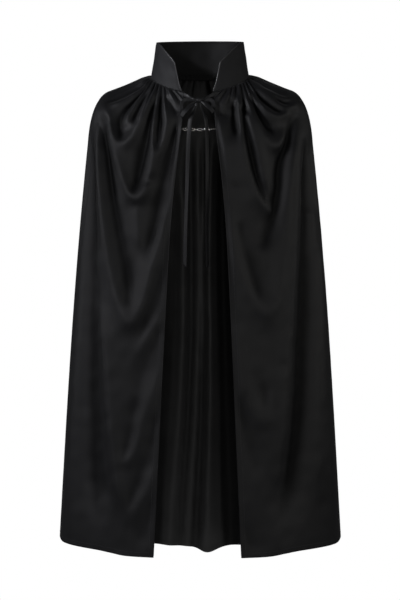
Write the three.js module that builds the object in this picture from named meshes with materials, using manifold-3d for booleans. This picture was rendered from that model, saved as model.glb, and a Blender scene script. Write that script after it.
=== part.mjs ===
// Full-length satin cape with a stiffened stand collar, a gathered neckline, ribbon ties in a bow and a
// chest chain, shown in the shape it takes when worn. Millimetres, +Z up, the front faces -Y.
// The origin is the centre of the neck opening. Left and right are the wearer's: left is +X.
import * as THREE from "three";
import { mergeVertices } from "three/addons/utils/BufferGeometryUtils.js";
import Module from "manifold-3d";

// ---- Driving dimensions -------------------------------------------------------------------------------
const CLOTH = 1.2; // one turned and pressed satin layer
const SEAM_GAP = 0.3; // between layers that thread holds together

const NECK = { halfWidth: 116, halfDepth: 78, frontZ: -23, sideZ: 24, backZ: 31 };
const NECK_OPENING_HALF = 35; // the front gap of the neckline, to one side of the middle
const SHOULDER = { slopeEnd: [222, -15], tip: [253, -26], fallStart: [262, -134] };
const FRONT_FALL = { knee: [97.5, -60], fallStart: [108, -190] };
const BACK_FALL = { knee: [121, 0], fallStart: [128, -120] };
const HEM = { halfWidth: 332, frontDepth: 178, backDepth: 185, frontZ: -1088, sideZ: -1059, backZ: -1112 };
const FRONT_EDGE = [[0, NECK_OPENING_HALF], [0.08, 40], [0.23, 58], [0.43, 72], [1, 100]]; // [share down, x]

const COLLAR = { topHalfWidth: 104, topHalfDepth: 84, tipX: 54, tipZ: 53, cornerX: 101, sideZ: 104, backZ: 119 };
const COLLAR_CLOTH = 0.9;
const COLLAR_GAP = 0.45;
const INTERLINING = 1.0;
const BINDING = { thickness: 1.0, above: 5, below: 7 };

const SPLIT_Z = -300; // height on the side seam where the free part of each front starts
const SPLIT_GAP = 0.5;

const RIBBON = { width: 9, thickness: 1.2 };
const STRAP_WIDTH = 6; // the tie, drawn narrower where it is pulled tight
const LOOP = { front: -3.4, back: 1.2, lean: 8 }; // from the knot's middle; lean brings its end forward
const KNOT = { width: 13, height: 10, depth: 9, y: -93, z: -43, chamfer: 2.5 };
const TAIL_END_Z = -425;

const CHAIN = { wire: 1.5, linkLength: 12, linkWidth: 6.6, play: 0.6, links: 8, sag: 2.5 };
const RING = { radius: 3.8, x: 46, z: -108, standOff: 4.8 }; // standOff: its middle, behind the cloth
const KEEPER = { width: 4.4, height: 9, beyond: 1.6, clearance: 0.35, fromCloth: 1 };
const HOOK_BEND = 2.4;

const rad = THREE.MathUtils.degToRad;
const vec = (x, y, z) => new THREE.Vector3(x, y, z);
const lerp = THREE.MathUtils.lerp;

// ---- Materials ----------------------------------------------------------------------------------------
const satin = new THREE.MeshStandardMaterial({ color: 0x16161a, roughness: 0.42, side: THREE.DoubleSide });
const satinRibbon = new THREE.MeshStandardMaterial({ color: 0x19191d, roughness: 0.38 });
const canvas = new THREE.MeshStandardMaterial({ color: 0x2a2a2c, roughness: 0.95 });
const thread = new THREE.MeshStandardMaterial({ color: 0x1c1c20, roughness: 0.7 });
const steel = new THREE.MeshStandardMaterial({ color: 0xd2d0cc, roughness: 0.22, metalness: 1 });

// ---- The worn shape -----------------------------------------------------------------------------------
// Three profiles run from the neck seam to the hem: down the front, the side and the back. Each holds
// [distance from the middle, height]; the surface between them is an ellipse in plan.
const profile = (neck, lead, bend, hem) => {
  const path = new THREE.CurvePath();
  const points = [neck, ...lead, ...bend, hem].map((p) => new THREE.Vector2(...p));
  const [control, fallStart] = points.slice(-3, -1);
  const start = points.slice(0, -3);
  for (let i = 1; i < start.length; i++) path.add(new THREE.LineCurve(start[i - 1], start[i]));
  path.add(new THREE.QuadraticBezierCurve(start.at(-1), control, fallStart));
  path.add(new THREE.LineCurve(fallStart, points.at(-1)));
  return path;
};
const sideProfile = profile([NECK.halfWidth, NECK.sideZ], [SHOULDER.slopeEnd],
  [SHOULDER.tip, SHOULDER.fallStart], [HEM.halfWidth, HEM.sideZ]);
const frontProfile = profile([NECK.halfDepth, NECK.frontZ], [],
  [FRONT_FALL.knee, FRONT_FALL.fallStart], [HEM.frontDepth, HEM.frontZ]);
const backProfile = profile([NECK.halfDepth, NECK.backZ], [],
  [BACK_FALL.knee, BACK_FALL.fallStart], [HEM.backDepth, HEM.backZ]);

// Height at angle phi from three known heights: at the front (0), the side (90) and the back (180 degrees).
const ringHeight = (phi, front, side, back) => {
  const middle = (front + back) / 2;
  return (middle + side) / 2 + ((front - back) / 2) * Math.cos(phi) + ((middle - side) / 2) * Math.cos(2 * phi);
};

// A point of the cape's outer face: phi runs round from the front, down runs from neck seam 0 to hem 1.
const drape = (phi, down) => {
  const side = sideProfile.getPointAt(down);
  const front = frontProfile.getPointAt(down);
  const back = backProfile.getPointAt(down);
  const depth = Math.cos(phi) > 0 ? front.x : back.x;
  return vec(side.x * Math.sin(phi), -depth * Math.cos(phi), ringHeight(phi, front.y, side.y, back.y));
};

const neckHeight = (phi) => ringHeight(phi, NECK.frontZ, NECK.sideZ, NECK.backZ);

const edgeCurve = new THREE.SplineCurve(FRONT_EDGE.map(([share, x]) => new THREE.Vector2(share, x)));
const edgeTable = edgeCurve.getPoints(80);
const edgeX = (down) => {
  const after = Math.max(1, edgeTable.findIndex((p) => p.x >= down));
  const [a, b] = [edgeTable[after - 1], edgeTable[after]];
  return lerp(a.y, b.y, (down - a.x) / (b.x - a.x));
};
const edgeAngle = (down) => Math.asin(edgeX(down) / sideProfile.getPointAt(down).x);

// The outward normal of a surface given as f(a, b) -> Vector3, with a running round and b running down.
const normalOf = (f, a, b) => {
  const step = 1e-3;
  const along = f(a + step, b).sub(f(a - step, b));
  const down = f(a, Math.min(1, b + step)).sub(f(a, Math.max(0, b - step)));
  return down.cross(along).normalize();
};

// ---- Solids -------------------------------------------------------------------------------------------
// A closed sheet between two faces, each a function (u, v) -> Vector3 with u and v from 0 to 1.
const sheetGeometry = (outer, inner, us, vs) => {
  const positions = [];
  for (const face of [outer, inner])
    for (const v of vs) for (const u of us) positions.push(...face(u, v).toArray());
  const [nu, nv] = [us.length, vs.length];
  const at = (side, i, j) => side * nu * nv + j * nu + i;
  const index = [];
  const quad = (a, b, c, d) => index.push(a, b, c, a, c, d);
  for (let j = 0; j < nv - 1; j++)
    for (let i = 0; i < nu - 1; i++) {
      quad(at(0, i, j), at(0, i, j + 1), at(0, i + 1, j + 1), at(0, i + 1, j));
      quad(at(1, i, j), at(1, i + 1, j), at(1, i + 1, j + 1), at(1, i, j + 1));
    }
  for (let i = 0; i < nu - 1; i++) {
    quad(at(0, i, 0), at(0, i + 1, 0), at(1, i + 1, 0), at(1, i, 0));
    quad(at(0, i, nv - 1), at(1, i, nv - 1), at(1, i + 1, nv - 1), at(0, i + 1, nv - 1));
  }
  for (let j = 0; j < nv - 1; j++) {
    quad(at(0, 0, j), at(1, 0, j), at(1, 0, j + 1), at(0, 0, j + 1));
    quad(at(0, nu - 1, j), at(0, nu - 1, j + 1), at(1, nu - 1, j + 1), at(1, nu - 1, j));
  }
  const geometry = new THREE.BufferGeometry();
  geometry.setAttribute("position", new THREE.Float32BufferAttribute(positions, 3));
  geometry.setIndex(index);
  return geometry;
};

const wasm = await Module();
wasm.setup();
const solidOf = (geometry) => {
  const bare = new THREE.BufferGeometry().setAttribute("position", geometry.getAttribute("position"));
  bare.setIndex(geometry.index);
  const merged = mergeVertices(bare, 1e-4);
  const vertProperties = merged.attributes.position.array;
  return new wasm.Manifold(new wasm.Mesh({ numProp: 3, vertProperties, triVerts: new Uint32Array(merged.index.array) }));
};
const geometryOf = (solid) => {
  const mesh = solid.getMesh();
  const geometry = new THREE.BufferGeometry();
  geometry.setAttribute("position", new THREE.BufferAttribute(Float32Array.from(mesh.vertProperties), 3));
  geometry.setIndex(new THREE.BufferAttribute(Uint32Array.from(mesh.triVerts), 1));
  return geometry;
};
const steps = (count, ease = 1) => Array.from({ length: count + 1 }, (_, i) => (i / count) ** ease);

const cape = new THREE.Group();
const add = (name, geometry, material, parent = cape) => {
  const mesh = new THREE.Mesh(geometry, material);
  mesh.name = name;
  parent.add(mesh);
  return mesh;
};

// ---- Body panels --------------------------------------------------------------------------------------
const PANEL_ROWS = steps(20, 1.5);
const sideSeamInset = (down, gap) => gap / frontProfile.getPointAt(down).x; // as an angle

const panelFaces = (startAngle, endAngle, thickness) => {
  const face = (depth) => (u, v) => {
    const phi = lerp(startAngle(v), endAngle(v), u);
    const normal = normalOf(drape, phi, v);
    const top = v === 0 ? -SEAM_GAP : 0;
    return drape(phi, v).addScaledVector(normal, -depth).add(vec(0, 0, top));
  };
  return [face(0), face(thickness)];
};

// The full front panel, in two parts: what the neckline and the chain hold still, and the free part below.
const axisTop = vec(...(({ x, y }) => [x, 0, y])(sideProfile.getPointAt(0.2)));
const axisEnd = vec(HEM.halfWidth, 0, HEM.sideZ);
const axisDirection = axisEnd.clone().sub(axisTop).normalize();
const splitPoint = axisTop.clone().addScaledVector(axisDirection, (SPLIT_Z - axisTop.z) / axisDirection.z);

const cutBox = (side, below) => {
  const size = 2000;
  const box = new THREE.BoxGeometry(size, size, size);
  const down = vec(axisDirection.x * side, 0, axisDirection.z);
  const turn = new THREE.Quaternion().setFromUnitVectors(vec(0, 0, -1), down);
  const centre = vec(splitPoint.x * side, 0, splitPoint.z);
  centre.addScaledVector(down, (below ? 1 : -1) * (size / 2 - SPLIT_GAP / 2));
  box.applyQuaternion(turn).translate(...centre.toArray());
  return solidOf(box);
};

const frontPanel = (name, side) => {
  const start = (v) => (side > 0 ? edgeAngle(v) : -Math.PI / 2 + sideSeamInset(v, SEAM_GAP / 2));
  const end = (v) => (side > 0 ? Math.PI / 2 - sideSeamInset(v, SEAM_GAP / 2) : -edgeAngle(v));
  const whole = solidOf(sheetGeometry(...panelFaces(start, end, CLOTH), steps(10), PANEL_ROWS));
  add(`${name}_front_panel`, geometryOf(whole.subtract(cutBox(side, true))), satin);
  add(`${name}_front_skirt`, geometryOf(whole.subtract(cutBox(side, false))), satin);
};
frontPanel("left", 1);
frontPanel("right", -1);

const backStart = (v) => Math.PI / 2 + sideSeamInset(v, SEAM_GAP / 2);
const backEnd = (v) => 1.5 * Math.PI - sideSeamInset(v, SEAM_GAP / 2);
add("back_panel", sheetGeometry(...panelFaces(backStart, backEnd, CLOTH), steps(20), PANEL_ROWS), satin);

// ---- Collar and neck binding --------------------------------------------------------------------------
// The collar's top edge is level round the back and drops in a straight line to each wing tip.
const collarTopHeight = (phi) => {
  const x = COLLAR.topHalfWidth * Math.abs(Math.sin(phi));
  if (Math.cos(phi) > 0 && x < COLLAR.cornerX)
    return lerp(COLLAR.tipZ, COLLAR.sideZ, (x - COLLAR.tipX) / (COLLAR.cornerX - COLLAR.tipX));
  const back = Math.max(0, -Math.cos(phi));
  return lerp(COLLAR.sideZ, COLLAR.backZ, back);
};
const collarFrontAngle = (rise) =>
  lerp(Math.asin(NECK_OPENING_HALF / NECK.halfWidth), Math.asin(COLLAR.tipX / COLLAR.topHalfWidth), rise);
const collarSurface = (phi, rise) => {
  const halfWidth = lerp(NECK.halfWidth, COLLAR.topHalfWidth, rise);
  const halfDepth = lerp(NECK.halfDepth, COLLAR.topHalfDepth, rise);
  return vec(halfWidth * Math.sin(phi), -halfDepth * Math.cos(phi), lerp(neckHeight(phi), collarTopHeight(phi), rise));
};
const outwardAt = (phi) => vec(Math.sin(phi) / NECK.halfWidth, -Math.cos(phi) / NECK.halfDepth, 0).normalize();
const inset = (shares, margin) => shares.map((share) => THREE.MathUtils.clamp(share, margin, 1 - margin));
const collarLayer = (name, fromOutside, thickness, margin, material) => {
  const face = (depth) => (u, v) => {
    const front = collarFrontAngle(1 - v);
    const phi = lerp(front, 2 * Math.PI - front, u);
    return collarSurface(phi, 1 - v).addScaledVector(outwardAt(phi), -depth);
  };
  const [us, vs] = [inset(steps(48), margin / (5 * NECK.halfDepth)), inset(steps(6), margin / COLLAR.sideZ)];
  add(name, sheetGeometry(face(fromOutside), face(fromOutside + thickness), us, vs), material);
};
collarLayer("collar_outer_layer", 0, COLLAR_CLOTH, 0, satin);
collarLayer("collar_interlining", COLLAR_CLOTH + COLLAR_GAP, INTERLINING, 2, canvas);
const innerLayerDepth = COLLAR_CLOTH + INTERLINING + 2 * COLLAR_GAP;
collarLayer("collar_inner_layer", innerLayerDepth, COLLAR_CLOTH, 0, satin);

// The binding tape covers the gathered seam on the inside.
const bindingDepth = innerLayerDepth + COLLAR_CLOTH + COLLAR_GAP;
const bindingFace = (depth) => (u, v) => {
  const front = collarFrontAngle(0);
  const phi = lerp(front, 2 * Math.PI - front, u);
  const rise = (BINDING.above * (1 - v)) / (COLLAR.backZ - NECK.backZ);
  return collarSurface(phi, rise).addScaledVector(outwardAt(phi), -depth)
    .setZ(neckHeight(phi) + lerp(BINDING.above, -BINDING.below, v));
};
add("neck_binding", sheetGeometry(bindingFace(bindingDepth), bindingFace(bindingDepth + BINDING.thickness),
  steps(48), steps(1)), satinRibbon);

// ---- Ribbon ties --------------------------------------------------------------------------------------
// A flat strip along a curve, its width running as near widthAxis as the curve allows.
const strip = (name, points, widthAxis, width, count) => {
  const path = new THREE.CatmullRomCurve3(points.map((p) => vec(...p)));
  const face = (lift) => (u, v) => {
    const tangent = path.getTangentAt(u);
    const across = widthAxis.clone().projectOnPlane(tangent).normalize();
    const normal = tangent.clone().cross(across);
    return path.getPointAt(u).addScaledVector(across, lerp(width / 2, -width / 2, v)).addScaledVector(normal, lift);
  };
  const [outer, inner] = [face(RIBBON.thickness / 2), face(-RIBBON.thickness / 2)];
  add(name, sheetGeometry(outer, inner, steps(count), [0, 1]), satinRibbon);
};

const knotShape = new THREE.Shape();
const [kw, kh, kc] = [KNOT.width / 2, KNOT.height / 2, KNOT.chamfer];
[[kw, kh - kc], [kw - kc, kh], [kc - kw, kh], [-kw, kh - kc], [-kw, kc - kh], [kc - kw, -kh], [kw - kc, -kh], [kw, kc - kh]]
  .forEach(([x, z], i) => (i ? knotShape.lineTo(x, z) : knotShape.moveTo(x, z)));
const knot = new THREE.ExtrudeGeometry(knotShape, {
  depth: KNOT.depth - 2 * kc, bevelThickness: kc, bevelSize: kc, bevelOffset: -kc, bevelSegments: 1, steps: 1,
});
knot.translate(0, 0, kc - KNOT.depth / 2).rotateX(Math.PI / 2);
add("bow_knot", knot, satinRibbon).position.set(0, KNOT.y, KNOT.z);

// Each strap leaves the neckline's corner and runs into the upper half of the knot's side.
const knotSide = KNOT.width / 2 + 0.5;
const cornerY = -NECK.halfDepth * Math.cos(collarFrontAngle(0));
for (const [name, side] of [["left", 1], ["right", -1]]) {
  const points = [
    [side * (NECK_OPENING_HALF - SEAM_GAP), cornerY - 1, NECK.frontZ - 5],
    [side * (NECK_OPENING_HALF - 11), cornerY - 8, NECK.frontZ - 9],
    [side * (knotSide + 7), KNOT.y + 2, KNOT.z + 3],
    [side * knotSide, KNOT.y, KNOT.z + 2],
  ];
  strip(`${name}_tie_strap`, points, vec(0, 0, 1), STRAP_WIDTH, 8);
}

// Each loop leaves the front of the knot, turns back at its end and returns behind.
const bowLoop = (name, endX, endZ) => {
  const [front, back] = [KNOT.y + LOOP.front, KNOT.y + LOOP.back];
  const side = Math.sign(endX);
  const [startX, startZ] = [side * (knotSide + 0.3), KNOT.z - KNOT.height / 2 + 0.3];
  const at = (share, y) => [lerp(startX, endX, share), y - share * LOOP.lean, lerp(startZ, endZ, share)];
  const points = [at(0, front + 1), at(0.35, front - 1), at(0.75, front - 1), at(1, (front + back) / 2),
    at(0.75, back + 1), at(0.35, back + 0.5), at(0, back - 1)];
  strip(name, points, vec(side * (startZ - endZ), 0, side * (endX - startX)), RIBBON.width, 24);
};
bowLoop("right_bow_loop", -40, -80);
bowLoop("left_bow_loop", 35, -71);

// The free tails hang from under the knot. A tail is a flat ribbon, so its section is wide in X and thin in Y.
const ribbonSection = () => {
  const [t, w, c] = [RIBBON.thickness / 2, RIBBON.width / 2, RIBBON.thickness / 6];
  const corners = [[t, w - c], [t - c, w], [c - t, w], [-t, w - c], [-t, c - w], [c - t, -w], [t - c, -w], [t, c - w]];
  return new THREE.Shape(corners.map((p) => new THREE.Vector2(...p)));
};
const TAIL_TOP = { y: KNOT.y + 3.3, z: KNOT.z - KNOT.height / 2 - SEAM_GAP };
const tail = (name, side, course) => {
  const points = [vec(side * (RIBBON.width / 2 + 0.7), TAIL_TOP.y, TAIL_TOP.z)];
  for (const [x, forward, z] of course) points.push(vec(side * x, TAIL_TOP.y - forward, z));
  const path = new THREE.CatmullRomCurve3(points);
  add(name, new THREE.ExtrudeGeometry(ribbonSection(), { steps: 26, extrudePath: path }), satinRibbon);
};
tail("right_tie_tail", -1, [[6, 0, -56], [12.5, 1, -70], [19.5, 7, -92], [24, 10, -155], [27, 11, -250],
  [30, 12, -343], [32, 12, TAIL_END_Z]]);
tail("left_tie_tail", 1, [[6.5, 0, -56], [12, 1, -70], [18, 7, -92], [20.5, 10, -155], [20.5, 11, -250],
  [20, 12, -343], [21, 12, TAIL_END_Z - 2]]);

// ---- Chest chain --------------------------------------------------------------------------------------
// Each end ring lies flat behind the front edge, under a thread keeper that is sewn to the cloth.
const downAt = (z) => {
  let [low, high] = [0, 1];
  for (let i = 0; i < 40; i++) {
    const middle = (low + high) / 2;
    if (drape(edgeAngle(middle), middle).z > z) low = middle;
    else high = middle;
  }
  return low;
};
const ringDown = downAt(RING.z);
const ringPhi = Math.asin(RING.x / sideProfile.getPointAt(ringDown).x);
const ringSeat = drape(ringPhi, ringDown);
const seatNormal = normalOf(drape, ringPhi, ringDown);
const ringY = ringSeat.y - seatNormal.y * (CLOTH + RING.standOff);

const ringGeometry = (tube) => new THREE.TorusGeometry(RING.radius, tube, 8, 20).rotateX(Math.PI / 2);
const seat = (side) => {
  const group = new THREE.Group();
  group.position.set(side * RING.x, ringY, RING.z);
  group.quaternion.setFromUnitVectors(vec(0, -1, 0), vec(side * seatNormal.x, seatNormal.y, seatNormal.z));
  cape.add(group);
  return group;
};
for (const [name, side] of [["left", 1], ["right", -1]]) {
  add(`${name}_chain_ring`, ringGeometry(CHAIN.wire / 2), steel, seat(side));
  const [front, back] = [KEEPER.fromCloth - RING.standOff, CHAIN.wire / 2 + KEEPER.beyond];
  const block = new THREE.BoxGeometry(KEEPER.width, back - front, KEEPER.height);
  block.translate(side * RING.radius, (front + back) / 2, 0);
  const channel = solidOf(ringGeometry(CHAIN.wire / 2 + KEEPER.clearance));
  add(`${name}_ring_keeper`, geometryOf(solidOf(block).subtract(channel)), thread, seat(side));
}

// A chain link is a round wire bent to a slot shape, long axis X, lying in the XZ plane.
const linkGeometry = () => {
  const bend = (CHAIN.linkWidth - CHAIN.wire) / 2;
  const straight = (CHAIN.linkLength - CHAIN.linkWidth) / 2;
  const around = [];
  for (let i = 0; i < 16; i++) {
    const a = (i / 16) * 2 * Math.PI + Math.PI / 16;
    around.push([Math.sign(Math.cos(a)) * straight + bend * Math.cos(a), bend * Math.sin(a), a]);
  }
  const positions = [];
  const sides = 6;
  for (const [x, z, a] of around)
    for (let k = 0; k < sides; k++) {
      const t = (k / sides) * 2 * Math.PI;
      const out = (CHAIN.wire / 2) * Math.cos(t);
      positions.push(x + out * Math.cos(a), (CHAIN.wire / 2) * Math.sin(t), z + out * Math.sin(a));
    }
  const index = [];
  const at = (i, k) => (i % 16) * sides + (k % sides);
  for (let i = 0; i < 16; i++)
    for (let k = 0; k < sides; k++)
      index.push(at(i, k), at(i, k + 1), at(i + 1, k + 1), at(i, k), at(i + 1, k + 1), at(i + 1, k));
  const geometry = new THREE.BufferGeometry();
  geometry.setAttribute("position", new THREE.Float32BufferAttribute(positions, 3));
  return geometry.setIndex(index);
};

const barToBar = CHAIN.wire + CHAIN.play; // between the middles of two wires that hook through each other
const halfBars = (CHAIN.linkLength - CHAIN.wire) / 2;
const firstCentre = -RING.x + RING.radius - barToBar + halfBars;
const linkPitch = 2 * halfBars - barToBar;
const chainHeight = (x) => RING.z - CHAIN.sag * (1 - (x / RING.x) ** 2);
for (let i = 0; i < CHAIN.links; i++) {
  const x = firstCentre + i * linkPitch;
  const link = add(`chain_link_${String(i + 1).padStart(2, "0")}`, linkGeometry(), steel);
  link.position.set(x, ringY, chainHeight(x));
  link.rotation.set(i % 2 ? 0 : Math.PI / 2, Math.atan2(chainHeight(x - 1) - chainHeight(x + 1), 2), 0, "YXZ");
}

// The hook is one bent wire: an eye through the last link, a shank, and an open bend through the left ring.
const eyeX = firstCentre + (CHAIN.links - 1) * linkPitch + halfBars - barToBar;
const hookEnd = RING.x - RING.radius + barToBar;
const b = HOOK_BEND;
const hookPath = new THREE.CatmullRomCurve3([
  vec(eyeX + 2 * b, -b * 0.2, 0), vec(eyeX + b, -b * 0.95, 0), vec(eyeX, -b * 0.3, 0),
  vec(eyeX, b * 0.5, 0), vec(eyeX + b, b, 0), vec((eyeX + hookEnd) / 2, b, 0),
  vec(hookEnd - b, b, 0), vec(hookEnd, b * 0.4, 0), vec(hookEnd, -b * 0.4, 0), vec(hookEnd - b, -b, 0),
]);
const wireSection = new THREE.Shape(
  Array.from({ length: 8 }, (_, i) => new THREE.Vector2(
    (CHAIN.wire / 2) * Math.cos((i * Math.PI) / 4), (CHAIN.wire / 2) * Math.sin((i * Math.PI) / 4))),
);
const hook = add("chain_hook", new THREE.ExtrudeGeometry(wireSection, { steps: 36, extrudePath: hookPath }), steel);
const hookMiddle = (eyeX + hookEnd) / 2;
const hookLean = Math.atan2(chainHeight(eyeX) - chainHeight(hookEnd), hookEnd - eyeX);
hook.geometry.translate(-hookMiddle, 0, 0);
hook.position.set(hookMiddle, ringY, (chainHeight(eyeX) + chainHeight(hookEnd)) / 2);
hook.rotation.set(0, hookLean, 0);

export default cape;
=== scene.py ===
"""A full-length black satin cape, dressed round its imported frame.

The cape is shown worn: a stiffened stand collar, a gathered neckline, ribbon ties in a bow, a chest chain and
two fronts that hang open. Everything is in metres, +Z up, the front faces -Y, +X is the wearer's left.
"""

from __future__ import annotations

import logging
import math
from dataclasses import dataclass, field
from enum import Enum
from typing import Callable, Sequence

import bmesh
import bpy
import numpy as np
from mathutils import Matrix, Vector


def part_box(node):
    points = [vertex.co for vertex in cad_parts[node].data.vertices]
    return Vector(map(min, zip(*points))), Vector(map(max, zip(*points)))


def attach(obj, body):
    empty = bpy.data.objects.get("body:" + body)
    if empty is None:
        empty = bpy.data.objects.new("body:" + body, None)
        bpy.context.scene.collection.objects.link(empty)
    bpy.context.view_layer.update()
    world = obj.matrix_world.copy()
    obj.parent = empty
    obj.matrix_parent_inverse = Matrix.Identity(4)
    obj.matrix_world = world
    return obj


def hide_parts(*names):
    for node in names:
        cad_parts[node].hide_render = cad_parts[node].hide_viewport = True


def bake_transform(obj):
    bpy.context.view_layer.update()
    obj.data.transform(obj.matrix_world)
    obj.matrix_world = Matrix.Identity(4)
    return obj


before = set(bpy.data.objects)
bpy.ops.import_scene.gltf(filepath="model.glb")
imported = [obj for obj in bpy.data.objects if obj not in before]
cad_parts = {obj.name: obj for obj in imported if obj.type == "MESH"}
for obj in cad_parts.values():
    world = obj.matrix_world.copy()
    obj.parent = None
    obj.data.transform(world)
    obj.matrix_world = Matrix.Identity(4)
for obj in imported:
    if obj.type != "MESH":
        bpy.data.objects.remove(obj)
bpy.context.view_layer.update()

log = logging.getLogger("cape")

Array = np.ndarray

ROOT = "cape"
UV_NAME = "UVMap"
# Name of the point attribute that holds painted shade: how deep each point lies in a pleat or fold hollow.
PAINTED_SHADE_ATTRIBUTE = "hollow"
MILLIMETRE = 0.001
STITCH_PITCH = 0.0033
EDGE_SWELL = 0.5  # how far a sheet's edge rounds out, as a share of its thickness
RAMP_ENDS = (0.3, 0.7)  # where a colour ramp leaves its low colour and reaches its high one


class Side(Enum):
    """A side of the cape, as the wearer has it. The value is the sign of X."""

    LEFT = 1
    RIGHT = -1

    @property
    def word(self) -> str:
        """The side's name in a piece's name."""
        return self.name.lower()


# ---- Numbers and curves --------------------------------------------------------------------------------


def smooth(value: Array) -> Array:
    """Eases 0 to 1, held at each end.

    Args:
        value: any numbers.

    Returns:
        0 below 0, 1 above 1 and an S-shaped rise between them.
    """
    held = np.clip(value, 0.0, 1.0)
    return held * held * (3.0 - 2.0 * held)


def drift(where: Array, pitch: float, seed: float) -> Array:
    """A slow irregular wave between about -1 and 1.

    Args:
        where: positions along the wave.
        pitch: its main wavelength.
        seed: picks one wave out of many.

    Returns:
        The wave's height at each position.
    """
    turn = 2.0 * math.pi / pitch
    return (
        np.sin(where * turn + seed)
        + 0.6 * np.sin(where * turn * 1.73 + 2.1 * seed)
        + 0.4 * np.sin(where * turn * 2.89 + 3.7 * seed)
    ) / 1.6


def ripple(x: Array, z: Array, pitch: float, seed: float) -> Array:
    """Soft uneven lumps over a surface, between about -1 and 1.

    Args:
        x: positions across.
        z: positions down.
        pitch: the usual size of a lump.
        seed: picks one pattern out of many.

    Returns:
        The height at each position.
    """
    total = np.zeros_like(x)
    for step in range(6):
        heading = seed + 2.4 * step
        along = math.cos(heading) * x + math.sin(heading) * z
        total += np.sin(along * 2.0 * math.pi / (pitch * (0.7 + 0.13 * step)) + 5.1 * seed * (step + 1))
    return total / 3.0


def resampled(points: Sequence[Sequence[float]], count: int) -> Array:
    """A smooth line through a few points, in even steps.

    Args:
        points: the points it passes through.
        count: how many points come back.

    Returns:
        An array of count points.
    """
    corners = np.array(points, float)
    padded = np.vstack([2 * corners[0] - corners[1], corners, 2 * corners[-1] - corners[-2]])
    pieces = []
    for k in range(1, len(padded) - 2):
        a, b, c, d = padded[k - 1 : k + 3]
        t = np.linspace(0.0, 1.0, 24, endpoint=False)[:, None]
        pieces.append(
            0.5 * (2 * b + (c - a) * t + (2 * a - 5 * b + 4 * c - d) * t**2 + (3 * b - a - 3 * c + d) * t**3)
        )
    dense = np.vstack([*pieces, corners[-1:]])
    walked = np.concatenate([[0.0], np.cumsum(np.linalg.norm(np.diff(dense, axis=0), axis=1))])
    even = np.linspace(0.0, walked[-1], count)
    return np.stack([np.interp(even, walked, dense[:, axis]) for axis in range(dense.shape[1])], axis=1)


def unit(vectors: Array) -> Array:
    """The vectors at length one."""
    return vectors / np.maximum(np.linalg.norm(vectors, axis=-1, keepdims=True), 1e-12)


def grid_normals(grid: Array) -> Array:
    """Normals of a grid of points laid rows down by columns across.

    Args:
        grid: points, shaped (rows, columns, 3), columns running anticlockwise seen from above.

    Returns:
        Unit normals of the same shape, pointing to the outer side.
    """
    down = np.gradient(grid, axis=0)
    along = np.gradient(grid, axis=1)
    return unit(np.cross(down, along))


# ---- Meshes --------------------------------------------------------------------------------------------


def placed(name: str, data: bpy.types.ID) -> bpy.types.Object:
    """A new object in the scene that holds some data."""
    made = bpy.data.objects.new(name, data)
    bpy.context.scene.collection.objects.link(made)
    return made


def mesh_object(name: str, verts: Array, faces: Sequence[Sequence[int]],
                uv: Array | None = None) -> bpy.types.Object:
    """A smooth-shaded object whose place is in its mesh.

    Args:
        name: the piece's name.
        verts: points, shaped (n, 3).
        faces: vertex numbers of each face.
        uv: one pair of metres for each vertex, or None.

    Returns:
        The new object, with its faces pointing outwards.
    """
    mesh = bpy.data.meshes.new(name)
    mesh.from_pydata(np.asarray(verts, float).tolist(), [], [list(map(int, f)) for f in faces])
    if uv is not None:
        layer = mesh.uv_layers.new(name=UV_NAME)
        corner = np.empty(len(mesh.loops), dtype=np.int32)
        mesh.loops.foreach_get("vertex_index", corner)
        layer.data.foreach_set("uv", uv[corner].astype(np.float32).ravel())
    body = bmesh.new()
    body.from_mesh(mesh)
    bmesh.ops.recalc_face_normals(body, faces=body.faces)
    body.to_mesh(mesh)
    body.free()
    mesh.shade_smooth()
    return placed(name, mesh)


def border(rows: int, columns: int) -> list[tuple[int, int]]:
    """The edge of a grid as one loop of (row, column), each corner once."""
    top = [(0, j) for j in range(columns - 1)]
    right = [(i, columns - 1) for i in range(rows - 1)]
    bottom = [(rows - 1, j) for j in range(columns - 1, 0, -1)]
    left = [(i, 0) for i in range(rows - 1, 0, -1)]
    return top + right + bottom + left


def evened(heights: Array, axis: int) -> Array:
    """Mixes each value half and half with its two neighbours.

    Args:
        heights: values, shaped (rows, columns).
        axis: 0 for neighbours up and down, 1 for neighbours to the sides.

    Returns:
        The softer values.
    """
    around = np.pad(heights, ((1, 1), (0, 0)) if axis == 0 else ((0, 0), (1, 1)), mode="edge")
    before, after = (around[:-2], around[2:]) if axis == 0 else (around[:, :-2], around[:, 2:])
    return 0.25 * before + 0.5 * heights + 0.25 * after


def hollows(height: Array, depth: float, passes: int) -> Array:
    """How deep each point of a relief lies below the cloth beside it.

    Args:
        height: heights, shaped (rows, columns).
        depth: the drop that counts as full depth, in metres.
        passes: how far sideways it looks.

    Returns:
        0 on crests and open cloth, up to 1 at the bottom of a deep pleat.
    """
    level = height
    for _ in range(passes):
        level = evened(level, 1)
    return smooth((level - height) / depth)


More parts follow.
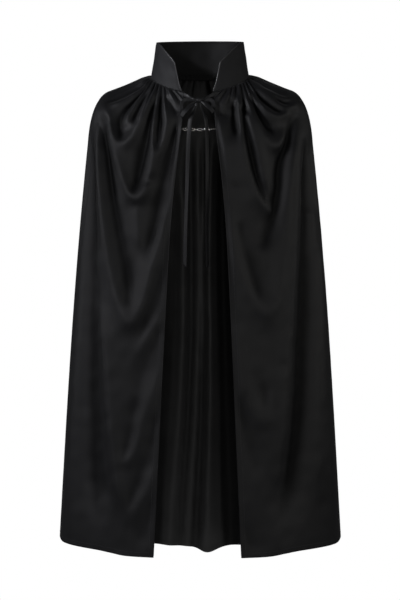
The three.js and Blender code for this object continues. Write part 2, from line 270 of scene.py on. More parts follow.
def closed_sheet(name: str, outer: Array, inner: Array, uv: Array) -> bpy.types.Object:
    """A sheet of cloth with two faces and a rounded edge.

    Args:
        name: the piece's name.
        outer: the outer face's points, shaped (rows, columns, 3).
        inner: the inner face's points, the same shape.
        uv: metres across and down, shaped (rows, columns, 2).

    Returns:
        The sheet as one closed mesh.
    """
    rows, columns = outer.shape[:2]
    count = rows * columns
    loop = border(rows, columns)
    rim = []
    for i, j in loop:
        inside = (min(max(i, 1), rows - 2), min(max(j, 1), columns - 2))
        away = outer[i, j] - outer[inside]
        thick = np.linalg.norm(outer[i, j] - inner[i, j])
        away = away / max(np.linalg.norm(away), 1e-9)
        rim.append((outer[i, j] + inner[i, j]) / 2 + away * thick * EDGE_SWELL)
    verts = np.vstack([outer.reshape(-1, 3), inner.reshape(-1, 3), np.array(rim)])
    flat = uv.reshape(-1, 2)
    edge_uv = np.array([uv[i, j] for i, j in loop])
    number = np.arange(count).reshape(rows, columns)
    quads = np.stack([number[:-1, :-1], number[1:, :-1], number[1:, 1:], number[:-1, 1:]], -1).reshape(-1, 4)
    faces = [*quads.tolist(), *(quads[:, ::-1] + count).tolist()]
    for k, (i, j) in enumerate(loop):
        after = (k + 1) % len(loop)
        near, far = number[i, j], number[loop[after]]
        here, there = 2 * count + k, 2 * count + after
        faces.append((near, far, there, here))
        faces.append((here, there, far + count, near + count))
    return mesh_object(name, verts, faces, np.vstack([flat, flat, edge_uv]))


def swept_tube(name: str, path: Array, radius: float, sides: int = 12,
               closed: bool = False) -> bpy.types.Object:
    """A round wire or thread along a path.

    Args:
        name: the piece's name.
        path: points along its middle.
        radius: half its thickness.
        sides: how many faces go round it.
        closed: whether the path joins up with its start.

    Returns:
        The tube, with capped ends where it is open.
    """
    count = len(path)
    if closed:
        tangent = unit(np.roll(path, -1, axis=0) - np.roll(path, 1, axis=0))
    else:
        tangent = unit(np.gradient(path, axis=0))
    frame_axis = np.zeros_like(path)
    start = np.array([0.0, 0.0, 1.0]) if abs(tangent[0, 2]) < 0.9 else np.array([1.0, 0.0, 0.0])
    frame_axis[0] = unit(start - tangent[0] * (start @ tangent[0]))
    for k in range(1, count):
        carried = frame_axis[k - 1] - tangent[k] * (frame_axis[k - 1] @ tangent[k])
        frame_axis[k] = unit(carried)
    other = np.cross(tangent, frame_axis)
    turn = np.linspace(0.0, 2.0 * math.pi, sides, endpoint=False)
    ring = frame_axis[:, None] * np.cos(turn)[None, :, None] + other[:, None] * np.sin(turn)[None, :, None]
    verts = (path[:, None] + radius * ring).reshape(-1, 3)
    faces = []
    for k in range(count if closed else count - 1):
        for s in range(sides):
            a, b = k * sides + s, k * sides + (s + 1) % sides
            c, d = ((k + 1) % count) * sides + (s + 1) % sides, ((k + 1) % count) * sides + s
            faces.append((a, b, c, d))
    if not closed:
        faces.append(tuple(range(sides - 1, -1, -1)))
        faces.append(tuple(range((count - 1) * sides, count * sides)))
    return mesh_object(name, verts, faces)


# ---- Materials -----------------------------------------------------------------------------------------


class Shading:
    """A small helper that fills one material's node tree."""

    def __init__(self, name: str) -> None:
        """Starts a material with a Principled surface.

        Args:
            name: the material's name.
        """
        self.material = bpy.data.materials.new(name)
        self.material.use_nodes = True
        self.nodes = self.material.node_tree.nodes
        self.links = self.material.node_tree.links
        self.surface = self.nodes["Principled BSDF"]

    def node(self, kind: str, **settings: object) -> bpy.types.Node:
        """Adds a node. A setting named like an input, with _ for spaces, sets that input's value.

        Args:
            kind: the node's type.
            **settings: attributes or input values.

        Returns:
            The node.
        """
        made = self.nodes.new(kind)
        for key, value in settings.items():
            label = key.replace("_", " ")
            if label in made.inputs:
                made.inputs[label].default_value = value
            else:
                setattr(made, key, value)
        return made

    def link(self, source: bpy.types.NodeSocket, target: bpy.types.NodeSocket) -> None:
        """Joins two sockets."""
        self.links.new(source, target)

    def set(self, **values: object) -> None:
        """Sets values on the surface's own sockets, with _ for spaces."""
        for key, value in values.items():
            self.surface.inputs[key.replace("_", " ")].default_value = value

    def ramp(self, source: bpy.types.NodeSocket, low: Sequence[float],
             high: Sequence[float]) -> bpy.types.NodeSocket:
        """Turns a number into a colour between two.

        Args:
            source: the number.
            low: the colour at and below the ramp's start, as red, green, blue.
            high: the colour at and above its end.

        Returns:
            The colour's socket.
        """
        made = self.node("ShaderNodeValToRGB")
        for stop, place, colour in zip(made.color_ramp.elements, RAMP_ENDS, (low, high)):
            stop.position = place
            stop.color = (*colour, 1.0)
        self.link(source, made.inputs["Fac"])
        return made.outputs["Color"]

    def span(self, source: bpy.types.NodeSocket, low: float, high: float) -> bpy.types.NodeSocket:
        """Maps a number from 0 and 1 to low and high."""
        made = self.node("ShaderNodeMapRange", To_Min=low, To_Max=high)
        self.link(source, made.inputs["Value"])
        return made.outputs["Result"]

    def bump(self, source: bpy.types.NodeSocket, distance: float, strength: float,
             under: bpy.types.NodeSocket | None = None) -> bpy.types.NodeSocket:
        """Adds relief from a height.

        Args:
            source: the height, 0 to 1.
            distance: how deep it is, in metres.
            strength: 0 to 1.
            under: a normal to add it to.

        Returns:
            The normal's socket.
        """
        made = self.node("ShaderNodeBump", Strength=strength, Distance=distance)
        self.link(source, made.inputs["Height"])
        if under is not None:
            self.link(under, made.inputs["Normal"])
        return made.outputs["Normal"]


@dataclass(frozen=True)
class SatinFinish:
    """Satin cloth: long shiny floats over a fine weave, a little crumpled, and painted shade in hollows."""

    name: str
    shade: tuple[float, float, float] = (0.0052, 0.0053, 0.0061)
    light_shade: tuple[float, float, float] = (0.0076, 0.0077, 0.0088)
    roughness: tuple[float, float] = (0.49, 0.57)
    thread: float = 0.00042
    crumple: float = 0.0003
    grain: float = 0.00005
    sheen: float = 0.07
    specular: float = 0.36
    # shadow: how far the painted shade darkens colour and gloss at the bottom of a hollow
    shadow: float = 0.96

    def material(self) -> bpy.types.Material:
        """Builds the material.

        Returns:
            The finished satin.
        """
        kit = Shading(self.name)
        place = kit.node("ShaderNodeUVMap", uv_map=UV_NAME)
        solid = kit.node("ShaderNodeTexCoord")
        warp = kit.node("ShaderNodeTexWave", wave_type="BANDS", bands_direction="X",
                        Scale=0.314 / self.thread, Distortion=0.6, Detail=1.0)
        kit.link(place.outputs["UV"], warp.inputs["Vector"])
        stretch = kit.node("ShaderNodeMapping", Scale=(1.0 / self.thread, 0.16 / self.thread, 1.0))
        kit.link(place.outputs["UV"], stretch.inputs["Vector"])
        floats = kit.node("ShaderNodeTexNoise", Scale=1.0, Detail=2.0, Roughness=0.6)
        kit.link(stretch.outputs["Vector"], floats.inputs["Vector"])
        cloud = kit.node("ShaderNodeTexNoise", Scale=9.0, Detail=4.0, Roughness=0.55)
        kit.link(solid.outputs["Object"], cloud.inputs["Vector"])
        crease = kit.node("ShaderNodeTexNoise", Scale=26.0, Detail=5.0, Roughness=0.55, Distortion=0.7)
        kit.link(solid.outputs["Object"], crease.inputs["Vector"])
        # Painted shade: the mesh's hollow attribute darkens the base colour and the gloss in pleats and fold
        # hollows.
        hollow = kit.node("ShaderNodeAttribute", attribute_name=PAINTED_SHADE_ATTRIBUTE)
        painted_shade_scale = kit.span(hollow.outputs["Fac"], 1.0, 1.0 - self.shadow)
        cloth = kit.node("ShaderNodeVectorMath", operation="SCALE")
        kit.link(kit.ramp(cloud.outputs["Fac"], self.shade, self.light_shade), cloth.inputs["Vector"])
        kit.link(painted_shade_scale, cloth.inputs["Scale"])
        kit.link(cloth.outputs["Vector"], kit.surface.inputs["Base Color"])
        gloss = kit.node("ShaderNodeMath", operation="MULTIPLY")
        kit.link(painted_shade_scale, gloss.inputs[0])
        gloss.inputs[1].default_value = self.specular
        kit.link(gloss.outputs["Value"], kit.surface.inputs["Specular IOR Level"])
        kit.link(kit.span(cloud.outputs["Fac"], *self.roughness), kit.surface.inputs["Roughness"])
        relief = kit.bump(crease.outputs["Fac"], self.crumple, 0.5)
        relief = kit.bump(floats.outputs["Fac"], self.grain, 0.6, relief)
        relief = kit.bump(warp.outputs["Fac"], self.grain * 0.5, 0.4, relief)
        kit.link(relief, kit.surface.inputs["Normal"])
        kit.set(Sheen_Weight=self.sheen, Sheen_Roughness=0.4, Anisotropic=0.2)
        lie = kit.node("ShaderNodeTangent", direction_type="UV_MAP", uv_map=UV_NAME)
        kit.link(lie.outputs["Tangent"], kit.surface.inputs["Tangent"])
        return kit.material


@dataclass(frozen=True)
class ThreadFinish:
    """Polyester sewing thread: two plies twisted together."""

    name: str
    colour: tuple[float, float, float] = (0.022, 0.022, 0.025)
    twist: float = 900.0

    def material(self) -> bpy.types.Material:
        """Builds the material.

        Returns:
            The finished thread.
        """
        kit = Shading(self.name)
        place = kit.node("ShaderNodeTexCoord")
        ply = kit.node("ShaderNodeTexWave", wave_type="BANDS", bands_direction="DIAGONAL", Scale=self.twist,
                       Distortion=1.0)
        kit.link(place.outputs["Object"], ply.inputs["Vector"])
        dark = tuple(0.6 * c for c in self.colour)
        kit.link(kit.ramp(ply.outputs["Fac"], dark, self.colour), kit.surface.inputs["Base Color"])
        kit.link(kit.bump(ply.outputs["Fac"], 0.00008, 0.6), kit.surface.inputs["Normal"])
        kit.set(Roughness=0.5, Sheen_Weight=0.2)
        return kit.material


@dataclass(frozen=True)
class CanvasFinish:
    """Matte woven interlining."""

    name: str
    colour: tuple[float, float, float] = (0.03, 0.03, 0.032)
    thread: float = 0.0009

    def material(self) -> bpy.types.Material:
        """Builds the material.

        Returns:
            The finished canvas.
        """
        kit = Shading(self.name)
        place = kit.node("ShaderNodeUVMap", uv_map=UV_NAME)
        weave = kit.node("ShaderNodeTexChecker", Scale=1.0 / self.thread)
        kit.link(place.outputs["UV"], weave.inputs["Vector"])
        dark = tuple(0.7 * c for c in self.colour)
        kit.link(kit.ramp(weave.outputs["Fac"], dark, self.colour), kit.surface.inputs["Base Color"])
        kit.link(kit.bump(weave.outputs["Fac"], 0.0001, 0.5), kit.surface.inputs["Normal"])
        kit.set(Roughness=0.92)
        return kit.material


@dataclass(frozen=True)
class SteelFinish:
    """Bright plated steel wire, faintly drawn and rubbed."""

    name: str
    colour: tuple[float, float, float] = (0.80, 0.79, 0.76)
    worn: tuple[float, float, float] = (0.62, 0.61, 0.58)

    def material(self) -> bpy.types.Material:
        """Builds the material.

        Returns:
            The finished steel.
        """
        kit = Shading(self.name)
        place = kit.node("ShaderNodeTexCoord")
        rub = kit.node("ShaderNodeTexNoise", Scale=420.0, Detail=3.0)
        kit.link(place.outputs["Object"], rub.inputs["Vector"])
        kit.link(kit.ramp(rub.outputs["Fac"], self.worn, self.colour), kit.surface.inputs["Base Color"])
        kit.link(kit.span(rub.outputs["Fac"], 0.14, 0.3), kit.surface.inputs["Roughness"])
        kit.link(kit.bump(rub.outputs["Fac"], 0.00003, 0.4), kit.surface.inputs["Normal"])
        kit.set(Metallic=1.0)
        return kit.material


def coat(finish: SatinFinish | ThreadFinish | CanvasFinish | SteelFinish) -> bpy.types.Material:
    """A field that holds a finish's material, made when its owner is."""
    return field(default_factory=finish.material)


@dataclass
class Finishes:
    """Every finish on the cape, made once."""

    satin: bpy.types.Material = coat(SatinFinish("black_satin"))
    # Satin for the inside face: the duller back of the cloth, made far lighter as painted light for the dim
    # inside.
    reverse: bpy.types.Material = coat(SatinFinish(
        "satin_reverse_lightened", shade=(0.040, 0.040, 0.0402), light_shade=(0.054, 0.054, 0.054), specular=0.6))
    # Collar satin: duller than the cape's, and its colour made lighter as painted light for the brightly lit
    # wings.
    collar: bpy.types.Material = coat(SatinFinish(
        "collar_satin_lightened", shade=(0.0115, 0.0117, 0.0128), light_shade=(0.0145, 0.0147, 0.016),
        roughness=(0.56, 0.62), specular=0.22))
    lining: bpy.types.Material = coat(SatinFinish(
        "collar_lining", shade=(0.005, 0.005, 0.0052), light_shade=(0.008, 0.008, 0.0082),
        roughness=(0.56, 0.62), specular=0.16))
    ribbon: bpy.types.Material = coat(SatinFinish(
        "satin_ribbon", shade=(0.008, 0.008, 0.009), light_shade=(0.012, 0.012, 0.0135),
        roughness=(0.40, 0.48), thread=0.0003, specular=0.3))
    # Corded edge satin: glossier than the cape's, its colour made lighter as a painted highlight along the
    # edge.
    highlight_cording: bpy.types.Material = coat(SatinFinish(
        "corded_edge", shade=(0.016, 0.016, 0.0175), light_shade=(0.022, 0.022, 0.024),
        roughness=(0.30, 0.38), thread=0.0003, crumple=0.0002, specular=0.6))
    canvas: bpy.types.Material = coat(CanvasFinish("collar_canvas"))
    thread: bpy.types.Material = coat(ThreadFinish("black_thread"))
    steel: bpy.types.Material = coat(SteelFinish("bright_wire"))


def dress(piece: bpy.types.Object, material: bpy.types.Material) -> bpy.types.Object:
    """Gives a piece its finish.

    Args:
        piece: the object.
        material: its finish.

    Returns:
        The same object.
    """
    piece.data.materials.clear()
    piece.data.materials.append(material)
    return piece


# ---- Geometry node trees -------------------------------------------------------------------------------


class Tree:
    """A geometry node tree with named inputs, built step by step."""

    def __init__(self, name: str, sizes: dict[str, float]) -> None:
        """Starts the tree.

        Args:
            name: the tree's name.
            sizes: the named size inputs and their usual values, in metres.
        """
        self.tree = bpy.data.node_groups.new(name, "GeometryNodeTree")
        self.tree.interface.new_socket("Geometry", in_out="INPUT", socket_type="NodeSocketGeometry")
        for label, value in sizes.items():
            socket = self.tree.interface.new_socket(label, in_out="INPUT", socket_type="NodeSocketFloat")
            socket.default_value = value
        self.tree.interface.new_socket("Finish", in_out="INPUT", socket_type="NodeSocketMaterial")
        self.tree.interface.new_socket("Geometry", in_out="OUTPUT", socket_type="NodeSocketGeometry")
        self.start = self.tree.nodes.new("NodeGroupInput")
        self.end = self.tree.nodes.new("NodeGroupOutput")

    def node(self, kind: str, inputs: dict[str, object] | None = None, **settings: object) -> bpy.types.Node:
        """Adds a node.

        Args:
            kind: the node's type.
            inputs: sockets or plain values for its inputs, by name.
            **settings: the node's own attributes.

        Returns:
            The node.
        """
        made = self.tree.nodes.new(kind)
        for key, value in settings.items():
            setattr(made, key, value)
        for label, value in (inputs or {}).items():
            socket = made.inputs[label]
            if isinstance(value, bpy.types.NodeSocket):
                self.tree.links.new(value, socket)
            else:
                socket.default_value = value
        return made

    def math(self, operation: str, first: object, second: object) -> bpy.types.NodeSocket:
        """Adds a sum of two numbers and returns its result."""
        made = self.tree.nodes.new("ShaderNodeMath")
        made.operation = operation
        for socket, value in zip(made.inputs, (first, second)):
            if isinstance(value, bpy.types.NodeSocket):
                self.tree.links.new(value, socket)
            else:
                socket.default_value = value
        return made.outputs[0]

    def finish(self, geometry: bpy.types.NodeSocket) -> bpy.types.NodeTree:
        """Ends the tree in real geometry with its finish.

        Args:
            geometry: the last geometry socket.

        Returns:
            The whole tree.
        """
        real = self.node("GeometryNodeRealizeInstances", {"Geometry": geometry})
        coated = self.node("GeometryNodeSetMaterial",
                           {"Geometry": real.outputs["Geometry"], "Material": self.start.outputs["Finish"]})
        self.tree.links.new(coated.outputs["Geometry"], self.end.inputs["Geometry"])
        return self.tree


def stitch_tree() -> bpy.types.NodeTree:
    """Stitches laid end to end along a line.

    Returns:
        The tree, with inputs Pitch, Length and Thickness.
    """
    kit = Tree("Stitches", {"Pitch": STITCH_PITCH, "Length": 0.0026, "Thickness": 0.0005})
    sizes = kit.start.outputs
    line = kit.node("GeometryNodeMeshToCurve", {"Mesh": sizes["Geometry"]})
    dots = kit.node("GeometryNodeResampleCurve",
                    {"Curve": line.outputs["Curve"], "Length": sizes["Pitch"]}, mode="LENGTH")
    bead = kit.node("GeometryNodeMeshUVSphere", {"Segments": 6, "Rings": 4, "Radius": 0.5})
    scale = kit.node("ShaderNodeCombineXYZ",
                     {"X": sizes["Length"], "Y": sizes["Thickness"], "Z": sizes["Thickness"]})
    heading = kit.node("GeometryNodeInputTangent")
    facing = kit.node("FunctionNodeAlignRotationToVector", {"Vector": heading.outputs["Tangent"]}, axis="X")
    laid = kit.node("GeometryNodeInstanceOnPoints", {
        "Points": dots.outputs["Curve"], "Instance": bead.outputs["Mesh"],
        "Rotation": facing.outputs["Rotation"], "Scale": scale.outputs["Vector"]})
    return kit.finish(laid.outputs["Instances"])


def link_tree() -> bpy.types.NodeTree:
    """Oval wire links, one on each point of a line, every other one turned a quarter.

    Returns:
        The tree, with inputs Link Length, Link Width and Wire.
    """
    kit = Tree("ChainLinks", {"Link Length": 0.012, "Link Width": 0.0066, "Wire": 0.0015})
    sizes = kit.start.outputs
    bend = kit.math("MULTIPLY", kit.math("SUBTRACT", sizes["Link Width"], sizes["Wire"]), 0.5)
    straight = kit.math("MULTIPLY", kit.math("SUBTRACT", sizes["Link Length"], sizes["Link Width"]), 0.5)
    round_path = kit.node("GeometryNodeCurvePrimitiveCircle", {"Resolution": 36, "Radius": 1.0})
    place = kit.node("GeometryNodeInputPosition")
    parts = kit.node("ShaderNodeSeparateXYZ", {"Vector": place.outputs["Position"]})
    ahead = kit.math("MULTIPLY", kit.math("SIGN", parts.outputs["X"], 0.0), straight)
    x = kit.math("ADD", kit.math("MULTIPLY", parts.outputs["X"], bend), ahead)
    z = kit.math("MULTIPLY", parts.outputs["Y"], bend)
    oval = kit.node("ShaderNodeCombineXYZ", {"X": x, "Z": z})
    drawn = kit.node("GeometryNodeSetPosition",
                     {"Geometry": round_path.outputs["Curve"], "Position": oval.outputs["Vector"]})
    section = kit.node("GeometryNodeCurvePrimitiveCircle",
                       {"Resolution": 12, "Radius": kit.math("MULTIPLY", sizes["Wire"], 0.5)})
    link = kit.node("GeometryNodeCurveToMesh",
                    {"Curve": drawn.outputs["Geometry"], "Profile Curve": section.outputs["Curve"]})
    soft = kit.node("GeometryNodeSetShadeSmooth", {"Geometry": link.outputs["Mesh"]})
    line = kit.node("GeometryNodeMeshToCurve", {"Mesh": sizes["Geometry"]})
    heading = kit.node("GeometryNodeInputTangent")
    facing = kit.node("FunctionNodeAlignRotationToVector", {"Vector": heading.outputs["Tangent"]}, axis="X")
    number = kit.node("GeometryNodeInputIndex")
    odd = kit.math("MODULO", kit.math("ADD", number.outputs["Index"], 1.0), 2.0)
    quarter = kit.node("FunctionNodeAxisAngleToRotation",
                       {"Axis": (1.0, 0.0, 0.0), "Angle": kit.math("MULTIPLY", odd, math.pi / 2)})
    turned = kit.node("FunctionNodeRotateRotation",
                      {"Rotation": facing.outputs["Rotation"], "Rotate By": quarter.outputs["Rotation"]},
                      rotation_space="LOCAL")
    laid = kit.node("GeometryNodeInstanceOnPoints", {
        "Points": line.outputs["Curve"], "Instance": soft.outputs["Geometry"],
        "Rotation": turned.outputs["Rotation"]})
    return kit.finish(laid.outputs["Instances"])


def grown(name: str, path: Array, tree: bpy.types.NodeTree, finish: bpy.types.Material,
          sizes: dict[str, float]) -> bpy.types.Object:
    """Runs a node tree along a path and keeps the result as a plain mesh.

    Args:
        name: the new piece's name.
        path: points along it, in metres.
        tree: the geometry node tree.
        finish: the material it gives.
        sizes: values for the tree's named inputs.

    Returns:
        The piece.
    """
    mesh = bpy.data.meshes.new(name + "_line")
    mesh.from_pydata(np.asarray(path, float).tolist(), [(k, k + 1) for k in range(len(path) - 1)], [])
    line = placed(name + "_line", mesh)
    modifier = line.modifiers.new("grow", "NODES")
    modifier.node_group = tree
    for item in tree.interface.items_tree:
        if item.in_out != "INPUT":
            continue
        if item.name in sizes:
            modifier[item.identifier] = sizes[item.name]
        elif item.name == "Finish":
            modifier[item.identifier] = finish
    bpy.context.view_layer.update()
    ready = line.evaluated_get(bpy.context.evaluated_depsgraph_get())
    result = bpy.data.meshes.new_from_object(ready)
    result.name = name
    result.shade_smooth()
    bpy.data.objects.remove(line)
    return placed(name, result)


STITCHES = stitch_tree()
LINKS = link_tree()


def stitched(name: str, path: Array, finishes: Finishes, length: float, thickness: float) -> bpy.types.Object:
    """A row of stitches along a path.

    Args:
        name: the piece's name.
        path: points along it, in metres.
        finishes: the cape's finishes.
        length: how long one stitch is.
        thickness: how thick its thread is.

    Returns:
        The finished row.
    """
    sizes = {"Pitch": STITCH_PITCH, "Length": length, "Thickness": thickness}
    return dress(grown(name, path, STITCHES, finishes.thread, sizes), finishes.thread)


# ---- The worn shape ------------------------------------------------------------------------------------


@dataclass(frozen=True)
class WornShape:
    """The smooth outline the cape takes on its wearer, before any fold.

    Each profile runs from the neck seam to the hem as (distance from the middle, height).
    """

    neck: tuple[float, float] = (0.116, 0.078)
    neck_heights: tuple[float, float, float] = (-0.023, 0.024, 0.031)
    hem_heights: tuple[float, float, float] = (-1.088, -1.059, -1.112)
    side_course: tuple[tuple[float, float], ...] = (
        (0.116, 0.0245), (0.140, 0.0183), (0.215, -0.0092), (0.258, -0.024), (0.262, -0.134),
        (0.332, -1.059))
    front_course: tuple[tuple[float, float], ...] = (
        (0.078, -0.023), (0.0975, -0.060), (0.108, -0.190), (0.178, -1.088))
    back_course: tuple[tuple[float, float], ...] = (
        (0.078, 0.031), (0.121, 0.0), (0.128, -0.120), (0.185, -1.112))
    front_hem: tuple[tuple[float, float], ...] = (
        (0.0, -1.087), (0.33, -1.0862), (0.50, -1.0848), (0.60, -1.0800), (0.70, -1.0756),
        (0.83, -1.0726), (0.93, -1.0703), (0.975, -1.0675), (1.0, -1.0595))
    back_dip: tuple[float, float, float] = (0.013, 0.028, 0.0135)
    side_bow: float = 0.0085
    shoulder: float = 0.12
    front_edge: tuple[tuple[float, float], ...] = (
        (0.0, 0.035), (0.08, 0.040), (0.23, 0.058), (0.43, 0.072), (1.0, 0.100))
    length: float = 1.15

    @staticmethod
    def _course(points: Sequence[tuple[float, float]]) -> tuple[Array, Array]:
        """A straight lead, one soft bend and a straight fall, measured along its length.

        Args:
            points: the lead's points, then the bend's control point, its end and the hem.

        Returns:
            The share of the length at each sample, and the samples.
        """
        *lead, control, fall, hem = [np.array(p) for p in points]
        t = np.linspace(0.0, 1.0, 200)[:, None]
        bend = (1 - t) ** 2 * lead[-1] + 2 * t * (1 - t) * control + t**2 * fall
        parts = [np.linspace(a, b, 80, endpoint=False) for a, b in zip(lead, lead[1:])]
        line = np.vstack([*parts, bend, np.linspace(fall, hem, 400)[1:]])
        walked = np.concatenate([[0.0], np.cumsum(np.linalg.norm(np.diff(line, axis=0), axis=1))])
        return walked / walked[-1], line

    def _at(self, course: Sequence[tuple[float, float]], down: Array) -> tuple[Array, Array]:
        """Distance from the middle and height of one profile.

        Args:
            course: the profile's points.
            down: shares of its length.

        Returns:
            The distances and the heights.
        """
        share, line = self._course(course)
        return np.interp(down, share, line[:, 0]), np.interp(down, share, line[:, 1])

    def _side(self, down: Array) -> tuple[Array, Array]:
        """Distance from the middle and height at the side, which bows out a little below the shoulder."""
        x, z = self._at(self.side_course, down)
        fall = np.clip((down - self.shoulder) / (1.0 - self.shoulder), 0.0, 1.0)
        return x + self.side_bow * np.sin(math.pi * fall**0.8), z

    @staticmethod
    def ring_height(phi: Array, front: Array, side: Array, back: Array) -> Array:
        """The height at an angle from three known heights.

        Args:
            phi: angles round from the front, in radians.
            front: the height in front.
            side: the height at the sides.
            back: the height behind.

        Returns:
            Heights that pass smoothly through all three.
        """
        middle = (front + back) / 2
        return (middle + side) / 2 + (front - back) / 2 * np.cos(phi) + (middle - side) / 2 * np.cos(2 * phi)

    def point(self, phi: Array, down: Array) -> Array:
        """Points of the smooth outer face.

        Args:
            phi: angles round from the front, in radians.
            down: shares of the way from the neck seam to the hem.

        Returns:
            Points, shaped like phi with a last axis of three.
        """
        side_x, side_z = self._side(down)
        front_x, front_z = self._at(self.front_course, down)
        back_x, back_z = self._at(self.back_course, down)
        depth = np.where(np.cos(phi) > 0, front_x, back_x)
        z = self.ring_height(phi, front_z, side_z, back_z)
        hem = resampled(self.front_hem, 200)
        wanted = np.interp(np.abs(np.sin(phi)), hem[:, 0], hem[:, 1])
        hem_z = self.ring_height(phi, *self.hem_heights)
        z = z + (wanted - hem_z) * smooth((down - 0.5) / 0.5) * (np.cos(phi) > 0)
        place, width, drop = self.back_dip
        dip = np.exp(-(((side_x * np.sin(phi) - place) / width) ** 2)) * (np.cos(phi) < 0)
        z = z - drop * dip * smooth((down - 0.75) / 0.25)
        return np.stack([side_x * np.sin(phi), -depth * np.cos(phi), z], axis=-1)

    def edge_angle(self, down: Array) -> Array:
        """The angle of the front edge at each share of the way down."""
        line = resampled(self.front_edge, 200)
        x = np.interp(down, line[:, 0], line[:, 1])
        return np.arcsin(x / self._side(down)[0])

    def neck_height(self, phi: Array) -> Array:
        """The height of the neck seam at an angle."""
        return self.ring_height(phi, *self.neck_heights)


SHAPE = WornShape()


# ---- Folds ---------------------------------------------------------------------------------------------


@dataclass(frozen=True)
class Crease:
    """One line of the drape, in millimetres, seen from the front as (across, up).

    The cloth stands proud along it by rise, or sinks in where rise is negative.
    """

    rise: float
    course: tuple[tuple[float, float], ...]

    def points(self, step: float) -> tuple[Array, Array]:
        """Points along the line and the height the cloth has there.

        Args:
            step: metres between points.

        Returns:
            Points in metres, and heights in metres that fade out at both ends.
        """
        corners = np.array(self.course, float) * MILLIMETRE
        length = np.linalg.norm(np.diff(corners, axis=0), axis=1).sum()
        line = resampled(corners, max(8, int(length / step)))
        share = np.linspace(0.0, 1.0, len(line))
        fade = smooth(share / 0.16 + 0.25) * smooth((1.0 - share) / 0.16 + 0.1)
        return line, self.rise * MILLIMETRE * fade


@dataclass
class Drape:
    """Soft folds: the cloth bridges the space between the crests and hollows it is given."""

    creases: tuple[Crease, ...]
    span: tuple[float, float]
    gain: float = 1.0
    low_gain: float = 1.0
    easing: tuple[float, float] = (-0.46, -0.14)
    bottom: float = -1.15
    top: float = 0.06
    cell: float = 0.0025
    reach: float = 0.034
    hold: float = 0.55
    rounds: int = 500
    softening: int = 5
    low_softening: int = 9

    def __post_init__(self) -> None:
        """Settles the cloth over its crests and hollows."""
        spans = (self.top - self.bottom, self.span[1] - self.span[0])
        shape = tuple(int(span / self.cell) + 1 for span in spans)
        wanted, held = np.zeros(shape), np.zeros(shape)
        for crease in self.creases:
            line, rise = crease.points(self.cell / 2)
            row = np.rint((line[:, 1] - self.bottom) / self.cell).astype(int)
            column = np.rint((line[:, 0] - self.span[0]) / self.cell).astype(int)
            inside = (row >= 0) & (row < shape[0]) & (column >= 0) & (column < shape[1])
            wanted[row[inside], column[inside]] = rise[inside]
            held[row[inside], column[inside]] = self.hold
        fade = 1.0 / (1.0 + (self.cell / self.reach) ** 2 / 4.0)
        relief = np.zeros(shape)
        for _ in range(self.rounds):
            around = np.pad(relief, 1, mode="edge")
            beside = around[:-2, 1:-1] + around[2:, 1:-1] + around[1:-1, :-2] + around[1:-1, 2:]
            relief = fade * 0.25 * beside
            relief += held * (wanted - relief)
        crisp = self._softened(relief, self.softening)
        broad = self._softened(crisp, self.low_softening)
        level = self.bottom + self.cell * np.arange(shape[0])
        share = smooth((level - self.easing[0]) / (self.easing[1] - self.easing[0]))[:, None]
        self.relief = crisp * self.gain * share + broad * self.low_gain * (1.0 - share)

    @staticmethod
    def _softened(relief: Array, passes: int) -> Array:
        """Spreads a height field evenly over its neighbours.

        Args:
            relief: heights, shaped (rows, columns).
            passes: how many times it is spread.

        Returns:
            The softer heights.
        """
        for _ in range(passes):
            relief = evened(evened(relief, 0), 1)
        return relief

    def height(self, x: Array, z: Array) -> Array:
        """How far the cloth stands out.

        Args:
            x: positions across.
            z: heights above the origin.

        Returns:
            Heights of the folds, in metres.
        """
        rows, columns = self.relief.shape
        row = np.clip((z - self.bottom) / self.cell, 0.0, rows - 1.001)
        column = np.clip((x - self.span[0]) / self.cell, 0.0, columns - 1.001)
        i, j = row.astype(int), column.astype(int)
        u, v = row - i, column - j
        above = self.relief[i + 1, j] * (1 - v) + self.relief[i + 1, j + 1] * v
        below = self.relief[i, j] * (1 - v) + self.relief[i, j + 1] * v
        return above * u + below * (1 - u)


@dataclass(frozen=True)
class Gathers:
    """Pleats drawn up into the neck seam, which open out as they fall."""

    fine: float = 0.0034
    fine_pitch: float = 0.0112
    middle: float = 0.0012
    middle_pitch: float = 0.025
    long: float = 0.0
    long_pitch: float = 0.07
    seed: float = 1.0

    def height(self, along: Array, fallen: Array) -> Array:
        """How far the pleats stand out.

        Args:
            along: metres along the neck seam, carried straight down the cloth.
            fallen: metres below the neck seam.

        Returns:
            Heights, in metres.
        """
        wander = 0.0022 * drift(along, 0.041, self.seed) + 0.0012 * drift(along, 0.017, 2.3 * self.seed)
        turn = 2 * math.pi * (along + wander)
        uneven = 0.75 + 0.35 * drift(along, 0.033, 1.9 * self.seed)
        reach = 0.060 + 0.026 * drift(along, 0.05, 3.1 * self.seed)
        pressed = 0.3 + 0.7 * smooth(fallen / 0.009)
        fine = uneven * (np.abs(np.cos(turn / (2 * self.fine_pitch))) ** 1.6 * 2 - 1.35) * pressed
        fine = fine * np.exp(-((fallen / reach) ** 1.3))
        far = 0.075 + 0.03 * drift(along, 0.08, 4.3 * self.seed)
        grow = smooth(fallen / 0.03)
        middle = np.sin(turn / self.middle_pitch + 1.3 * self.seed) * np.exp(-fallen / far)
        middle = middle * (0.35 + 0.65 * grow) * (0.8 + 0.4 * drift(along, 0.06, 2.9 * self.seed))
        settle = smooth((fallen - 0.05) / 0.3)
        sway = 0.012 * drift(fallen, 0.9, self.seed)
        slow = np.sin(2 * math.pi * (along + wander * 2 + sway * 0.3) / self.long_pitch + self.seed)
        slow = slow * (0.8 + 0.3 * drift(along, 0.12, 5.3 * self.seed))
        return self.fine * fine + self.middle * middle + self.long * slow * settle


